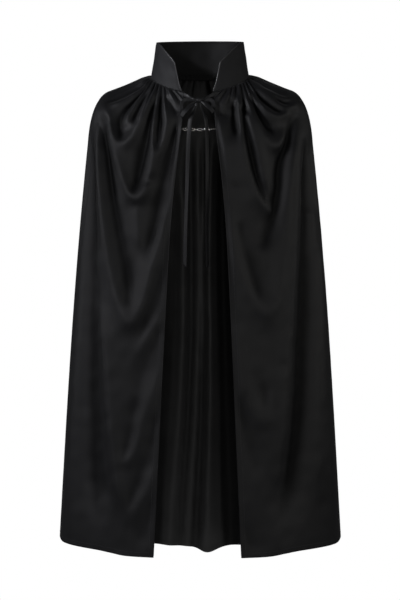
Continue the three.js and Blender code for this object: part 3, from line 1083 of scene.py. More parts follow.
@dataclass(frozen=True)
class Fan:
    """The lines the pleats follow: straight down in front, turning out towards the shoulders.

    Each heading is (share of the half neck across, degrees below level).
    """

    headings: tuple[tuple[float, float], ...] = (
        (0.0, 165.0), (0.40, 148.0), (0.55, 128.0), (0.66, 104.0), (0.74, 90.0), (0.82, 80.0),
        (0.90, 70.0), (0.95, 60.0), (0.98, 46.0), (1.0, 15.0))
    steps: int = 160

    def angle(self, x: Array, z: Array) -> Array:
        """Where on the neck seam each point's pleat starts.

        Args:
            x: positions across.
            z: heights above the origin.

        Returns:
            Angles round from the front, in radians, with the sign of x.
        """
        phi = np.linspace(0.15, math.pi / 2, self.steps)
        heading = np.radians(np.interp(np.sin(phi), *np.array(self.headings).T))
        aside = (np.abs(x)[..., None] - SHAPE.neck[0] * np.sin(phi)) * np.sin(heading)
        aside = aside + (z[..., None] - SHAPE.neck_height(phi)) * np.cos(heading)
        passed = np.clip((aside > 0).sum(axis=-1), 1, self.steps - 1)
        after = np.take_along_axis(aside, passed[..., None], axis=-1)[..., 0]
        before = np.take_along_axis(aside, passed[..., None] - 1, axis=-1)[..., 0]
        share = np.clip(before / np.where(before - after == 0.0, 1.0, before - after), 0.0, 1.0)
        return np.sign(x) * (phi[passed - 1] + (phi[1] - phi[0]) * share)


# ---- Body of the cape ----------------------------------------------------------------------------------


@dataclass
class Cloth:
    """What every panel shares: how it is meshed, hemmed, stitched and given painted shade in hollows."""

    finishes: Finishes
    thickness: float = 0.0007
    hem_extra: float = 0.0007
    hem_width: float = 0.0105
    stitch_lift: float = 0.0001
    neck_arc: float = 0.099
    seam_angle: float = 0.00015 / 0.12
    seam_reach: float = 0.03
    tuck: float = 0.0016
    tuck_fall: float = 0.003
    uv_radius: float = 0.24
    # Reach and depth of the painted shade in fine pleats and in broad fold hollows.
    shadow_depth: float = 0.0032
    shadow_passes: int = 110
    fold_shade_depth: float = 0.0075
    fold_shade_passes: int = 700
    upper: float = 0.14
    row_counts: tuple[int, int, int] = (66, 150, 6)

    def rows(self) -> Array:
        """Shares of the way down at which the cloth has a row of points, closer near the neck."""
        hem_line = 1.0 - self.hem_width / SHAPE.length
        many, more, few = self.row_counts
        top = np.linspace(0.0, self.upper, many, endpoint=False)
        rest = np.linspace(self.upper, hem_line, more, endpoint=False)
        return np.concatenate([top, rest, np.linspace(hem_line, 1.0, few)])

    def sheet(self, name: str, phi: Array, down: Array, height: Callable[..., Array],
              band: Array) -> tuple[bpy.types.Object, Array, Array]:
        """One panel as a closed sheet, with painted shade for its pleats and fold hollows on its points.

        Args:
            name: the piece's name.
            phi: angles of its points, shaped (rows, columns).
            down: shares of the way down, the same shape.
            height: gives the folds' height from (point, phi, down).
            band: 1 where the cloth is doubled by a hem, 0 elsewhere.

        Returns:
            The panel, its outer points and its outer normals.
        """
        base = SHAPE.point(phi, down)
        lean = grid_normals(base)
        relief = height(base, phi, down)
        outer = base + lean * relief[..., None]
        tucked = 1.0 - smooth(down * SHAPE.length / self.tuck_fall)
        outer = outer - lean * (self.tuck * tucked)[..., None]
        normal = grid_normals(outer)
        fallen = np.cumsum(np.linalg.norm(np.diff(outer, axis=0, prepend=outer[:1]), axis=2), axis=0)
        uv = np.stack([phi * self.uv_radius, fallen], axis=-1)
        thick = self.thickness + self.hem_extra * smooth(band)
        inner = outer - normal * thick[..., None]
        panel = closed_sheet(name, outer, inner, uv)
        # Painted shade kept on the points: deepest in pleats near the neck and in broad fold hollows, on both
        # faces.
        below = smooth((down * SHAPE.length - 0.06) / 0.16)
        count = relief.size
        full = np.zeros(len(panel.data.vertices), dtype=np.float32)
        for start, proud in ((0, relief), (count, -relief)):
            pleats = hollows(proud, self.shadow_depth, self.shadow_passes) * (1.0 - 0.6 * below)
            folds = hollows(proud, self.fold_shade_depth, self.fold_shade_passes) * (0.5 + 0.2 * below)
            full[start : start + count] = np.maximum(pleats, folds).ravel()
        panel.data.attributes.new(PAINTED_SHADE_ATTRIBUTE, "FLOAT", "POINT").data.foreach_set("value", full)
        return panel, outer, normal

    def off_seam(self, turned: Array) -> Array:
        """How freely the cloth may fold, from almost nothing at a side seam to 1 well away from it."""
        to_seam = (math.pi / 2 - np.abs(turned)) * 0.15
        return smooth(to_seam / self.seam_reach + 0.02)

    def stitches(self, name: str, path: Array) -> bpy.types.Object:
        """A row of topstitching along a path."""
        return stitched(name, path, self.finishes, 0.0026, 0.00055)


@dataclass
class FrontPanel:
    """One front of the cape, from its side seam to its hemmed front edge."""

    side: Side
    cloth: Cloth
    drape: Drape
    gathers: Gathers
    columns: int = 176
    flat: tuple[float, float] = (0.31, 1.2)
    calm: float = 0.016
    edge_radius: float = 0.001
    corner: tuple[float, float, float] = (0.332, 0.0, -1.059)
    sweep: tuple[float, float, float] = (-0.764, -0.560, -0.322)
    sweep_start: float = 0.01
    sweep_end: float = 0.22

    def _angles(self, down: Array) -> Array:
        """Angles of the panel's points, a row of columns for each share down."""
        edge = SHAPE.edge_angle(down[:, 0])[:, None]
        seam = math.pi / 2 - self.cloth.seam_angle
        share = np.linspace(0.0, 1.0, self.columns)[None, :]
        spread = edge + (seam - edge) * share
        return spread if self.side is Side.LEFT else -spread[:, ::-1]

    def _height(self, base: Array, phi: Array, down: Array) -> Array:
        """The panel's folds and gathers at each point."""
        x, z = base[..., 0], base[..., 2]
        total = self.drape.height(x, z)
        along = Fan().angle(x, z) * self.cloth.neck_arc
        fallen = down * SHAPE.length
        total = total + self.gathers.height(along, fallen)
        total = total + 0.00035 * ripple(x, z, 0.05, 2.6) * smooth((fallen - 0.03) / 0.1)
        to_edge = np.abs(x) - np.abs(base[:, self._edge_column()][:, None, 0])
        quiet = (0.25 + 0.75 * smooth(to_edge / self.calm)) * self.cloth.off_seam(phi)
        return total * quiet

    def _edge_column(self) -> int:
        """The column that runs down the front edge."""
        return 0 if self.side is Side.LEFT else -1

    def _blend(self, piece: bpy.types.Object) -> None:
        """Bakes a piece's place into its mesh."""
        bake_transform(piece)

    def build(self) -> list[bpy.types.Object]:
        """Builds the panel and its topstitching.

        Returns:
            The finished pieces.
        """
        word = self.side.word
        rows = self.cloth.rows()[:, None]
        down = np.repeat(rows, self.columns, axis=1)
        phi = self._angles(rows)
        flat_edge = np.abs(SHAPE.point(phi, down)[..., 0])
        from_edge = flat_edge - flat_edge[:, self._edge_column()][:, None]
        from_hem = (1.0 - down) * SHAPE.length
        width = self.cloth.hem_width
        band = 1.0 - np.minimum(from_edge, from_hem) / width
        panel, outer, normal = self.cloth.sheet(f"{word}_front_cloth", phi, down, self._height, band * 3.0)
        dress(panel, self.cloth.finishes.satin)
        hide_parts(f"{word}_front_panel", f"{word}_front_skirt")
        lifted = outer + normal * self.cloth.stitch_lift
        low_row = int(np.argmin(np.abs(from_hem[:, 0] - width)))
        edge_path = []
        for k in range(3, low_row + 1):
            order = np.argsort(from_edge[k])
            edge_path.append([np.interp(width, from_edge[k][order], lifted[k, order, a]) for a in range(3)])
        low = lifted[low_row]
        inward = from_edge[low_row] > width
        hem_path = low[inward]
        rim = (outer - normal * self.cloth.thickness * 0.8)[3:, self._edge_column()]
        roll = swept_tube(f"{word}_front_edge_roll", resampled(rim[::4], 420), self.edge_radius, 8)
        dress_tube(roll, self.cloth.finishes.ribbon)
        seams = [roll, self.cloth.stitches(f"{word}_front_edge_stitches", np.array(edge_path)),
                 self.cloth.stitches(f"{word}_front_hem_stitches", hem_path)]
        for piece in (panel, *seams):
            self._blend(piece)
        return [panel, *seams]


@dataclass
class BackPanel:
    """The back of the cape, from side seam to side seam."""

    cloth: Cloth
    drape: Drape
    gathers: Gathers
    columns: int = 208
    flat: tuple[float, float] = (0.92, 1.2)

    def _height(self, base: Array, phi: Array, down: Array) -> Array:
        """The back's folds and gathers at each point."""
        x, z = base[..., 0], base[..., 2]
        total = self.drape.height(x, z)
        along = (phi - math.pi) * self.cloth.neck_arc
        fallen = down * SHAPE.length
        middle = np.exp(-((x / 0.11) ** 4)) * smooth((fallen - 0.08) / 0.15)
        total = total + self.gathers.height(along, fallen) * (1.0 - 0.85 * middle)
        total = total + 0.0004 * ripple(x, z, 0.06, 3.3) * smooth((fallen - 0.03) / 0.1)
        return total * self.cloth.off_seam(phi - math.pi)

    def build(self) -> list[bpy.types.Object]:
        """Builds the panel and its hem stitching.

        Returns:
            The finished pieces.
        """
        down = np.repeat(self.cloth.rows()[:, None], self.columns, axis=1)
        seam = self.cloth.seam_angle
        spread = np.linspace(math.pi / 2 + seam, 1.5 * math.pi - seam, self.columns)[None, :]
        phi = np.repeat(spread, len(down), axis=0)
        from_hem = (1.0 - down) * SHAPE.length
        band = (1.0 - from_hem / self.cloth.hem_width) * 3.0
        panel, outer, normal = self.cloth.sheet("back_cloth", phi, down, self._height, band)
        dress(panel, self.cloth.finishes.satin)
        # The inner face wears the lightened satin: painted light for the inside of the back.
        panel.data.materials.append(self.cloth.finishes.reverse)
        quads = (len(down) - 1) * (self.columns - 1)
        inside = np.zeros(len(panel.data.polygons), dtype=np.int32)
        inside[quads : 2 * quads] = 1
        panel.data.polygons.foreach_set("material_index", inside)
        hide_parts("back_panel")
        low_row = int(np.argmin(np.abs(from_hem[:, 0] - self.cloth.hem_width)))
        path = (outer + normal * self.cloth.stitch_lift)[low_row]
        seamed = self.cloth.stitches("back_hem_stitches", path)
        for piece in (panel, seamed):
            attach(piece, ROOT)
        return [panel, seamed]


# ---- Collar --------------------------------------------------------------------------------------------


@dataclass
class Collar:
    """The stand collar: an outer and an inner layer over stiff canvas, with a corded edge."""

    finishes: Finishes
    top: tuple[float, float] = (0.104, 0.084)
    opening: tuple[float, float] = (0.0335, 0.0405)
    tips: tuple[float, float] = (0.0505, 0.0575)
    tip_height: float = 0.0485
    corner_x: float = 0.101
    side_height: float = 0.104
    back_height: float = 0.119
    layer: float = 0.0009
    gap: float = 0.00045
    canvas: float = 0.001
    edge_radius: float = 0.0015
    hollow: float = 0.0018
    columns: int = 240
    rows: int = 44
    around: float = 0.47
    height: float = 0.085

    def _top_height(self, phi: Array) -> Array:
        """Height of the top edge: level behind, and a straight drop to each wing's point."""
        x = self.top[0] * np.abs(np.sin(phi))
        tip = np.where(np.sin(phi) > 0, *self.tips)
        share = (x - tip) / (self.corner_x - tip)
        wing = self.tip_height + (self.side_height - self.tip_height) * share
        level = self.side_height + (self.back_height - self.side_height) * np.clip(-np.cos(phi), 0.0, 1.0)
        fold = 0.006
        low, high = np.minimum(wing, level), np.maximum(wing, level)
        softened = low - fold * np.exp(-(high - low) / fold) * 0.5
        return np.where(np.cos(phi) > 0, softened, level)

    def _front_angle(self, rise: Array, side: Side) -> Array:
        """Angle of the collar's front edge at each share of its height."""
        which = 0 if side is Side.LEFT else 1
        low = math.asin(self.opening[which] / SHAPE.neck[0])
        high = math.asin(self.tips[which] / self.top[0])
        return low + (high - low) * rise

    def surface(self, share: Array, rise: Array, depth: Array) -> Array:
        """Points of the collar.

        Args:
            share: 0 at the wearer's left front edge, round the back, to 1 at the right.
            rise: 0 at the neck seam, 1 at the top edge.
            depth: metres inwards from the outer face.

        Returns:
            Points with a last axis of three.
        """
        front = self._front_angle(rise, Side.LEFT)
        phi = front + (2 * math.pi - self._front_angle(rise, Side.RIGHT) - front) * share
        half_x = SHAPE.neck[0] + (self.top[0] - SHAPE.neck[0]) * rise
        half_y = SHAPE.neck[1] + (self.top[1] - SHAPE.neck[1]) * rise
        outward = np.stack([np.sin(phi) / SHAPE.neck[0], -np.cos(phi) / SHAPE.neck[1], 0 * phi], axis=-1)
        low = SHAPE.neck_height(phi)
        high = self._top_height(phi)
        point = np.stack([half_x * np.sin(phi), -half_y * np.cos(phi), low + (high - low) * rise], axis=-1)
        in_front = smooth((np.cos(phi) + 0.2) / 0.9)
        dent = 0.0007 * ripple(phi * 0.1, rise * 0.08, 0.045, 3.9) * np.sin(math.pi * rise)
        dish = -self.hollow * np.sin(math.pi * rise) * (0.35 + 0.65 * in_front) + dent
        return point + unit(outward) * (dish - depth)[..., None]

    def _layer(self, name: str, depth: float, thickness: float, margin: float,
               pull: float) -> bpy.types.Object:
        """One layer of the collar.

        Args:
            name: the piece's name.
            depth: its outer face's distance in from the collar's outer face.
            thickness: how thick it is.
            margin: how far it stops short of the collar's edges.
            pull: how far its edge is drawn towards the middle of the thickness.

        Returns:
            The layer.
        """
        u = np.linspace(0.0, 1.0, self.columns)
        v = np.linspace(1.0, 0.0, self.rows)
        share, rise = np.meshgrid(np.clip(u, margin / self.around, 1 - margin / self.around),
                                  np.clip(v, margin / self.height, 1 - margin / self.height))
        to_edge = np.minimum(np.minimum(share, 1 - share) * self.around, (1 - rise) * self.height)
        drawn = pull * (1.0 - smooth(to_edge / 0.006))
        outer = self.surface(share, rise, depth + drawn)
        inner = self.surface(share, rise, depth + drawn + thickness)
        uv = np.stack([share * self.around, rise * self.height], axis=-1)
        return closed_sheet(name, outer, inner, uv)

    def edge_path(self, depth: float) -> Array:
        """The line of the collar's front and top edges, half way through its thickness."""
        up = np.linspace(0.0, 1.0, 60)
        round_top = np.linspace(0.0, 1.0, 420)
        left = self.surface(0.0 * up, up, 0 * up + depth)
        top = self.surface(round_top, 0 * round_top + 1.0, 0 * round_top + depth)
        right = self.surface(0.0 * up + 1.0, up[::-1], 0 * up + depth)
        return np.vstack([left[:-1], top, right[1:]])

    def build(self) -> list[bpy.types.Object]:
        """Builds the collar's pieces.

        Returns:
            The finished pieces.
        """
        total = 2 * self.layer + self.canvas + 2 * self.gap
        outer = self._layer("collar_outer", 0.0, self.layer * 0.8, 0.0, 0.0008)
        canvas = self._layer("collar_canvas", self.layer + self.gap, self.canvas, 0.003, 0.0)
        inner = self._layer("collar_inner", total - self.layer * 0.8, self.layer * 0.8, 0.0, -0.0008)
        # The outer layer wears the lightened collar satin, painted light; the inner layer wears the plain
        # lining.
        for piece, node in ((outer, "collar_outer_layer"), (inner, "collar_inner_layer")):
            dress(piece, self.finishes.collar if piece is outer else self.finishes.lining)
            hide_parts(node)
        dress(canvas, self.finishes.canvas)
        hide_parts("collar_interlining")
        path = resampled(self.edge_path(total / 2)[::3], 620)
        # The corded edge is a real cord, and its lightened satin is a painted highlight along it.
        edge = swept_tube("collar_corded_edge", path, self.edge_radius, 10)
        dress_tube(edge, self.finishes.highlight_cording)
        made = [outer, canvas, inner, edge]
        for piece in made:
            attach(piece, ROOT)
        return made


def dress_tube(piece: bpy.types.Object, material: bpy.types.Material) -> bpy.types.Object:
    """Dresses a swept piece in cloth, with a UV map taken from its place.

    Args:
        piece: the object.
        material: its finish.

    Returns:
        The same object.
    """
    mesh = piece.data
    layer = mesh.uv_layers.new(name=UV_NAME)
    for loop in mesh.loops:
        co = mesh.vertices[loop.vertex_index].co
        layer.data[loop.index].uv = (co.x + co.y, co.z)
    return dress(piece, material)


@dataclass
class NeckBinding:
    """The tape that covers the gathered seam on the inside."""

    collar: Collar
    above: float = 0.005
    below: float = 0.007
    thickness: float = 0.0006
    columns: int = 400
    around: float = 0.55

    def build(self) -> list[bpy.types.Object]:
        """Builds the tape and its two rows of stitches.

        Returns:
            The finished pieces.
        """
        collar = self.collar
        depth = 2 * collar.layer + collar.canvas + 3 * collar.gap
        share, v = np.meshgrid(np.linspace(0.0, 1.0, self.columns), np.linspace(0.0, 1.0, 9))
        level = collar.surface(share, 0 * share, 0 * share + depth)
        pucker = 0.0009 * drift(share * self.around, 0.012, 2.2)
        z = self.above + (-self.below - self.above) * v + pucker
        face = level + np.stack([0 * z, 0 * z, z], axis=-1)
        crown = (0.0006 + 0.0005 * drift(share * self.around, 0.009, 4.4)) * np.sin(math.pi * v)
        normal = grid_normals(face)
        inner = face - normal * (self.thickness + crown)[..., None]
        uv = np.stack([share * self.around, v * (self.above + self.below)], axis=-1)
        tape = closed_sheet("neck_binding_tape", face, inner, uv)
        dress(tape, collar.finishes.lining)
        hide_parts("neck_binding")
        made = [tape]
        for word, row in (("upper", 1), ("lower", 7)):
            line = (inner - normal * 0.0001)[row]
            made.append(stitched(f"neck_binding_{word}_stitches", line, collar.finishes, 0.0025, 0.00045))
        for piece in made:
            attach(piece, ROOT)
        return made


# ---- Ribbon ties ---------------------------------------------------------------------------------------


@dataclass(frozen=True)
class Ribbon:
    """A satin ribbon: its width, its thickness and how it lies along a line."""

    width: float = 0.009
    thickness: float = 0.0006

    def strip(self, name: str, path: Array, across: Array, widths: Array, cup: Array) -> bpy.types.Object:
        """A length of ribbon.

        Args:
            name: the piece's name.
            path: points along its middle.
            across: the way its width runs at each point.
            widths: its width at each point.
            cup: how far its middle stands off its edges at each point.

        Returns:
            The ribbon as one closed mesh.
        """
        tangent = unit(np.gradient(path, axis=0))
        sideways = unit(across - tangent * (across * tangent).sum(axis=1, keepdims=True))
        normal = np.cross(tangent, sideways)
        w = np.linspace(-1.0, 1.0, 15)
        centre = path[None] + sideways[None] * (w[:, None, None] * widths[None, :, None] / 2)
        centre = centre + normal[None] * ((1 - w[:, None] ** 2) * cup[None, :])[..., None]
        lie = grid_normals(centre)
        edge = 0.00012 * smooth((np.abs(w) - 0.82) / 0.18)[:, None]
        half = (self.thickness / 2 + edge)[..., None]
        length = np.concatenate([[0.0], np.cumsum(np.linalg.norm(np.diff(path, axis=0), axis=1))])
        uv = np.stack(np.broadcast_arrays(w[:, None] * self.width / 2, length[None, :]), axis=-1)
        return closed_sheet(name, centre + lie * half, centre - lie * half, uv)


@dataclass
class Bow:
    """The ribbon ties, tied at the throat: straps, knot, loops and hanging tails."""

    finishes: Finishes
    ribbon: Ribbon = Ribbon()
    strap_end: float = 0.0055
    pinch: float = 0.005
    front_lean: float = 0.008

    def __post_init__(self) -> None:
        """Reads the knot's place from the frame."""
        low, high = (np.array(c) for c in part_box("bow_knot"))
        self.centre = (low + high) / 2
        self.half = (high - low) / 2

    def _finish(self, piece: bpy.types.Object, body: str, *nodes: str) -> bpy.types.Object:
        """Dresses a ribbon piece, hides the frame parts it replaces and hangs it on its body."""
        dress(piece, self.finishes.ribbon)
        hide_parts(*nodes)
        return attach(piece, body)

    def _strap(self, side: Side) -> bpy.types.Object:
        """The length from one corner of the neckline to the knot."""
        sign = side.value
        knot_x = self.half[0] - 0.001
        points = [(sign * 0.0465, -0.0735, -0.0262), (sign * 0.0385, -0.0785, -0.0276),
                  (sign * 0.033, -0.0800, -0.0290), (sign * 0.024, -0.0835, -0.0335),
                  (sign * (knot_x + 0.007), -0.0915, self.centre[2] + 0.0035),
                  (sign * knot_x, self.centre[1], self.centre[2] + 0.001)]
        path = resampled(points, 60)
        t = np.linspace(0.0, 1.0, 60)
        tilt = np.stack([0 * t, -0.25 + 0.5 * t, 1.0 + 0 * t], axis=1)
        widths = self.ribbon.width + (self.strap_end - self.ribbon.width) * smooth((t - 0.1) / 0.8)
        piece = self.ribbon.strip(f"{side.word}_strap", path, tilt, widths, -sign * 0.0016 * smooth(t))
        return self._finish(piece, ROOT, f"{side.word}_tie_strap")

    def _loop(self, side: Side, end: tuple[float, float], belly: float) -> bpy.types.Object:
        """One loop of the bow: out from the knot, round its end and back behind.

        Args:
            side: which loop.
            end: where it turns, as (x, z).
            belly: how far the front stands forward.

        Returns:
            The loop.
        """
        sign = side.value
        x0, z0 = sign * (self.half[0] - 0.0005), self.centre[2] - 0.0035
        front, back = self.centre[1] - 0.0034, self.centre[1] + 0.0012

        def at(share: float, y: float, drop: float = 0.0) -> tuple[float, float, float]:
            """A point some share of the way out along the loop."""
            x, z = x0 + (end[0] - x0) * share, z0 + (end[1] - z0) * share + drop
            return x, y - share * self.front_lean, z

        rise = self.centre[2] + 0.001
        far = end[0] * 0.97
        points = [at(0.0, front + 0.001), at(0.3, front - belly, 0.0025), at(0.7, front - belly, 0.002),
                  at(0.95, front + 0.0006, 0.0), at(1.0, (front + back) / 2, -0.0004), at(0.97, back, 0.003),
                  (far, back - 0.004, end[1] * 0.65 + rise * 0.35),
                  (far, back - 0.002, end[1] * 0.25 + rise * 0.75),
                  (far * 0.82, back, rise), (far * 0.55, back, rise), (x0, back - 0.001, rise - 0.002)]
        count = 150
        path = resampled(points, count)
        t = np.linspace(0.0, 1.0, count)
        run = np.array([end[0] - x0, 0.0, end[1] - z0])
        outward = np.array([run[2], 0.0, -run[0]]) / np.linalg.norm(run)
        heading = unit(np.gradient(path, axis=0))
        homeward = unit(np.stack([-heading[:, 2], 0 * t, heading[:, 0]], axis=1))
        turned = smooth((t - 0.40) / 0.12)[:, None]
        across = outward[None] * (1.0 - turned) + homeward * turned
        sway = np.stack([0 * t, 0.25 * np.sin(2 * math.pi * t), 0 * t], axis=1) * (1.0 - turned)
        near_knot = np.minimum(t, 1 - t)
        opened = smooth(near_knot / 0.2) * (1.0 - 0.35 * turned[:, 0])
        widths = self.pinch + (self.ribbon.width - self.pinch) * opened
        cup = 0.0011 * (1 - smooth(near_knot / 0.3))
        piece = self.ribbon.strip(f"{side.word}_loop", path, -sign * across + sway, widths, cup)
        return self._finish(piece, ROOT, f"{side.word}_bow_loop")

    def _tail(self, side: Side, course: Sequence[tuple[float, float, float]], turn: tuple[float, float],
              slant: float) -> bpy.types.Object:
        """One hanging end.

        Args:
            side: which tail.
            course: its middle line, in metres.
            turn: how far it is turned about its own line at its top and its end, in radians.
            slant: how much lower the cut end is on one edge.

        Returns:
            The tail.
        """
        count = 190
        path = resampled(course, count)
        t = np.linspace(0.0, 1.0, count)
        angle = turn[0] + (turn[1] - turn[0]) * smooth(t)
        angle = angle + 0.25 * np.sin(9.0 * t + side.value) * t * (1 - t) * 2
        across = np.stack([np.cos(angle), np.sin(angle), 0 * t], axis=1)
        widths = self.ribbon.width * (0.72 + 0.28 * smooth(t / 0.12))
        cup = 0.001 * (1 - smooth(t / 0.2)) + 0.0002
        piece = self.ribbon.strip(f"{side.word}_tail", path, across, widths, cup)
        mesh = piece.data
        end = path[-1]
        reach = 0.03
        for vertex in mesh.vertices:
            near = 1.0 - min(1.0, max(0.0, (vertex.co.z - end[2]) / reach))
            vertex.co.z -= slant * near * (vertex.co.x - end[0]) / (self.ribbon.width / 2)
        self._finish(piece, f"{side.word}_tail", f"{side.word}_tie_tail")
        return piece

    def _knot(self) -> bpy.types.Object:
        """The wrapped knot: a band pulled over the middle, creased and drawn in at its sides."""
        around, across = 72, 25
        a = np.linspace(0.0, 2 * math.pi, around, endpoint=False)
        b = np.linspace(-1.0, 1.0, across)
        turn, wide = np.meshgrid(a, b, indexing="ij")
        power = 0.62
        ring_y = np.sign(np.sin(turn)) * np.abs(np.sin(turn)) ** power
        ring_z = np.sign(np.cos(turn)) * np.abs(np.cos(turn)) ** power
        waist = 1.0 - 0.2 * np.abs(wide) ** 3
        crease = 0.05 * np.cos(7.0 * wide + 0.5 * np.sin(turn) + 0.8) + 0.02 * np.cos(15.0 * wide + turn)
        swell = waist * (0.94 + crease)
        x = self.half[0] * wide * (0.97 + 0.03 * np.cos(2 * turn)) + 0.0006 * np.sin(turn + 2.0 * wide)
        verts = np.stack([x, self.half[1] * ring_y * swell, self.half[2] * ring_z * swell], axis=-1)
        verts = verts.reshape(-1, 3) + self.centre
        faces = []
        for i in range(around):
            for j in range(across - 1):
                k = (i + 1) % around
                faces.append((i * across + j, i * across + j + 1, k * across + j + 1, k * across + j))
        ends = []
        for column, push in ((0, -1.0), (across - 1, 1.0)):
            loop = [i * across + column for i in range(around)]
            for ring, (shrink, shove) in enumerate(((0.8, 0.0002), (0.45, -0.0008))):
                fresh = len(verts) + np.arange(around)
                middle = verts[loop].mean(axis=0)
                moved = middle + (verts[loop] - middle) * (shrink if ring == 0 else shrink / 0.8)
                moved[:, 0] += push * shove
                verts = np.vstack([verts, moved])
                for i in range(around):
                    k = (i + 1) % around
                    faces.append((loop[i], loop[k], int(fresh[k]), int(fresh[i])))
                loop = [int(n) for n in fresh]
            ends.append(loop)
        faces.extend(ends)
        uv = np.stack([verts[:, 0], verts[:, 2] + verts[:, 1]], axis=1)
        piece = mesh_object("knot", verts, faces, uv)
        return self._finish(piece, ROOT, "bow_knot")

    def build(self) -> list[bpy.types.Object]:
        """Builds the whole bow.

        Returns:
            The finished pieces.
        """
        y, z = self.centre[1] + 0.0033, self.centre[2] - self.half[2] - 0.0003
        right = [(-0.0052, y, z), (-0.006, y, -0.056), (-0.0125, y - 0.001, -0.070),
                 (-0.0195, y - 0.007, -0.092), (-0.024, y - 0.010, -0.155),
                 (-0.027, y - 0.011, -0.250), (-0.030, y - 0.012, -0.343),
                 (-0.032, y - 0.012, -0.425)]
        left = [(0.0052, y, z), (0.0065, y, -0.056), (0.012, y - 0.001, -0.070),
                (0.018, y - 0.007, -0.092), (0.0205, y - 0.010, -0.155),
                (0.0205, y - 0.011, -0.250), (0.020, y - 0.012, -0.343),
                (0.021, y - 0.012, -0.427)]
        return [
            self._strap(Side.RIGHT),
            self._strap(Side.LEFT),
            self._loop(Side.RIGHT, (-0.040, -0.080), 0.0022),
            self._loop(Side.LEFT, (0.035, -0.071), 0.0018),
            self._tail(Side.RIGHT, right, (-0.3, -0.4), 0.004),
            self._tail(Side.LEFT, left, (0.6, 0.85), -0.003),
            self._knot(),
        ]


# ---- Chest chain ---------------------------------------------------------------------------------------


@dataclass
class ChestChain:
    """The cable chain across the chest, its end rings, hook and thread keepers."""

    finishes: Finishes
    wire: float = 0.0015
    link: tuple[float, float] = (0.012, 0.0066)
    links: int = 8
    ring_radius: float = 0.0038
    bend: float = 0.0024
    throat: float = 0.0031
    thread: float = 0.0007

    @staticmethod
    def _middle(node: str) -> Array:
        """The middle of a CAD node's box."""
        low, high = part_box(node)
        return (np.array(low) + np.array(high)) / 2

    def _metal(self, piece: bpy.types.Object, body: str, *nodes: str) -> bpy.types.Object:
        """Dresses a wire piece, hides the frame parts it replaces and hangs it on its body."""
        dress(piece, self.finishes.steel)
        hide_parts(*nodes)
        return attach(piece, body)

    def _chain(self) -> bpy.types.Object:
        """The row of links."""
        nodes = [f"chain_link_{k:02d}" for k in range(1, self.links + 1)]
        path = np.array([self._middle(node) for node in nodes])
        sizes = {"Link Length": self.link[0], "Link Width": self.link[1], "Wire": self.wire}
        return self._metal(grown("chain_links", path, LINKS, self.finishes.steel, sizes), "chain", *nodes)

    def _hook(self) -> bpy.types.Object:
        """The bent wire hook between the last link and the wearer's left ring."""
        low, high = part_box("chain_hook")
        middle = self._middle("chain_hook")
        b, half = self.bend, self.wire / 2
        eye, end = low[0] + half, high[0] - half
        y, slope = middle[1], (high[2] - low[2] - self.wire) / (end - eye)
        course = [(eye + 2 * b, -0.2 * b), (eye + b, -0.95 * b), (eye, -0.3 * b), (eye, 0.5 * b),
                  (eye + b, b), ((eye + end) / 2, b), (end - b, self.throat), (end, 0.4 * self.throat),
                  (end, -0.4 * self.throat), (end - b, -self.throat)]
        line = [(x, y + dy, middle[2] + slope * 0.5 * (x - middle[0])) for x, dy in course]
        hook = swept_tube("chain_hook_wire", resampled(line, 90), half, 12)
        return self._metal(hook, "chain", "chain_hook")

    def _ring(self, side: Side) -> list[bpy.types.Object]:
        """One end ring and the turns of thread that hold it to the cloth."""
        word = side.word
        middle = self._middle(f"{word}_chain_ring")
        turn = np.linspace(0.0, 2 * math.pi, 56, endpoint=False)
        lean = unit(np.array([side.value * 0.06, -1.0, 0.08]))
        flat_x = unit(np.cross(np.array([0.0, 0.0, 1.0]), lean))
        flat_z = np.cross(lean, flat_x)
        spokes = np.cos(turn)[:, None] * flat_x + np.sin(turn)[:, None] * flat_z
        ring = swept_tube(f"{word}_ring", middle + self.ring_radius * spokes, self.wire / 2, 12, closed=True)
        self._metal(ring, ROOT, f"{word}_chain_ring")
        turns, per_turn = 7, 26
        t = np.linspace(0.0, turns * 2 * math.pi, turns * per_turn)
        sweep = np.linspace(-0.0028, 0.0028, len(t))
        out = side.value * self.ring_radius
        reach = self.wire / 2 + self.thread * 0.6
        back = 0.0018 + reach
        wrap = np.stack([middle[0] + out + reach * np.cos(t), middle[1] - 0.0009 + back * np.sin(t),
                         middle[2] + sweep], axis=1)
        keeper = swept_tube(f"{word}_ring_thread", wrap, self.thread / 2, 7)
        dress(keeper, self.finishes.thread)
        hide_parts(f"{word}_ring_keeper")
        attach(keeper, ROOT)
        return [ring, keeper]

    def build(self) -> list[bpy.types.Object]:
        """Builds the chain's pieces.

        Returns:
            The finished pieces.
        """
        return [self._chain(), self._hook(), *self._ring(Side.LEFT), *self._ring(Side.RIGHT)]


# ---- Studio --------------------------------------------------------------------------------------------


@dataclass(frozen=True)
class Lamp:
    """A light: an area light of some width and height, or a narrow spot where it has a cone."""

    name: str
    place: tuple[float, float, float]
    power: float
    colour: tuple[float, float, float]
    size: tuple[float, float] = (0.8, 1.8)
    cone: float = 0.0
    target: tuple[float, float, float] = (0.0, 0.0, -0.5)
    spot_radius: float = 0.15

    def build(self) -> None:
        """Adds the light, turned to its target."""
        data = bpy.data.lights.new(self.name, "SPOT" if self.cone else "AREA")
        data.energy = self.power
        data.color = self.colour
        if self.cone:
            data.spot_size, data.spot_blend, data.shadow_soft_size = self.cone, 1.0, self.spot_radius
        else:
            data.shape = "RECTANGLE"
            data.size, data.size_y = self.size
        lamp = placed(self.name, data)
        lamp.location = self.place
        heading = Vector(self.target) - Vector(self.place)
        lamp.rotation_euler = heading.to_track_quat("-Z", "Y").to_euler()


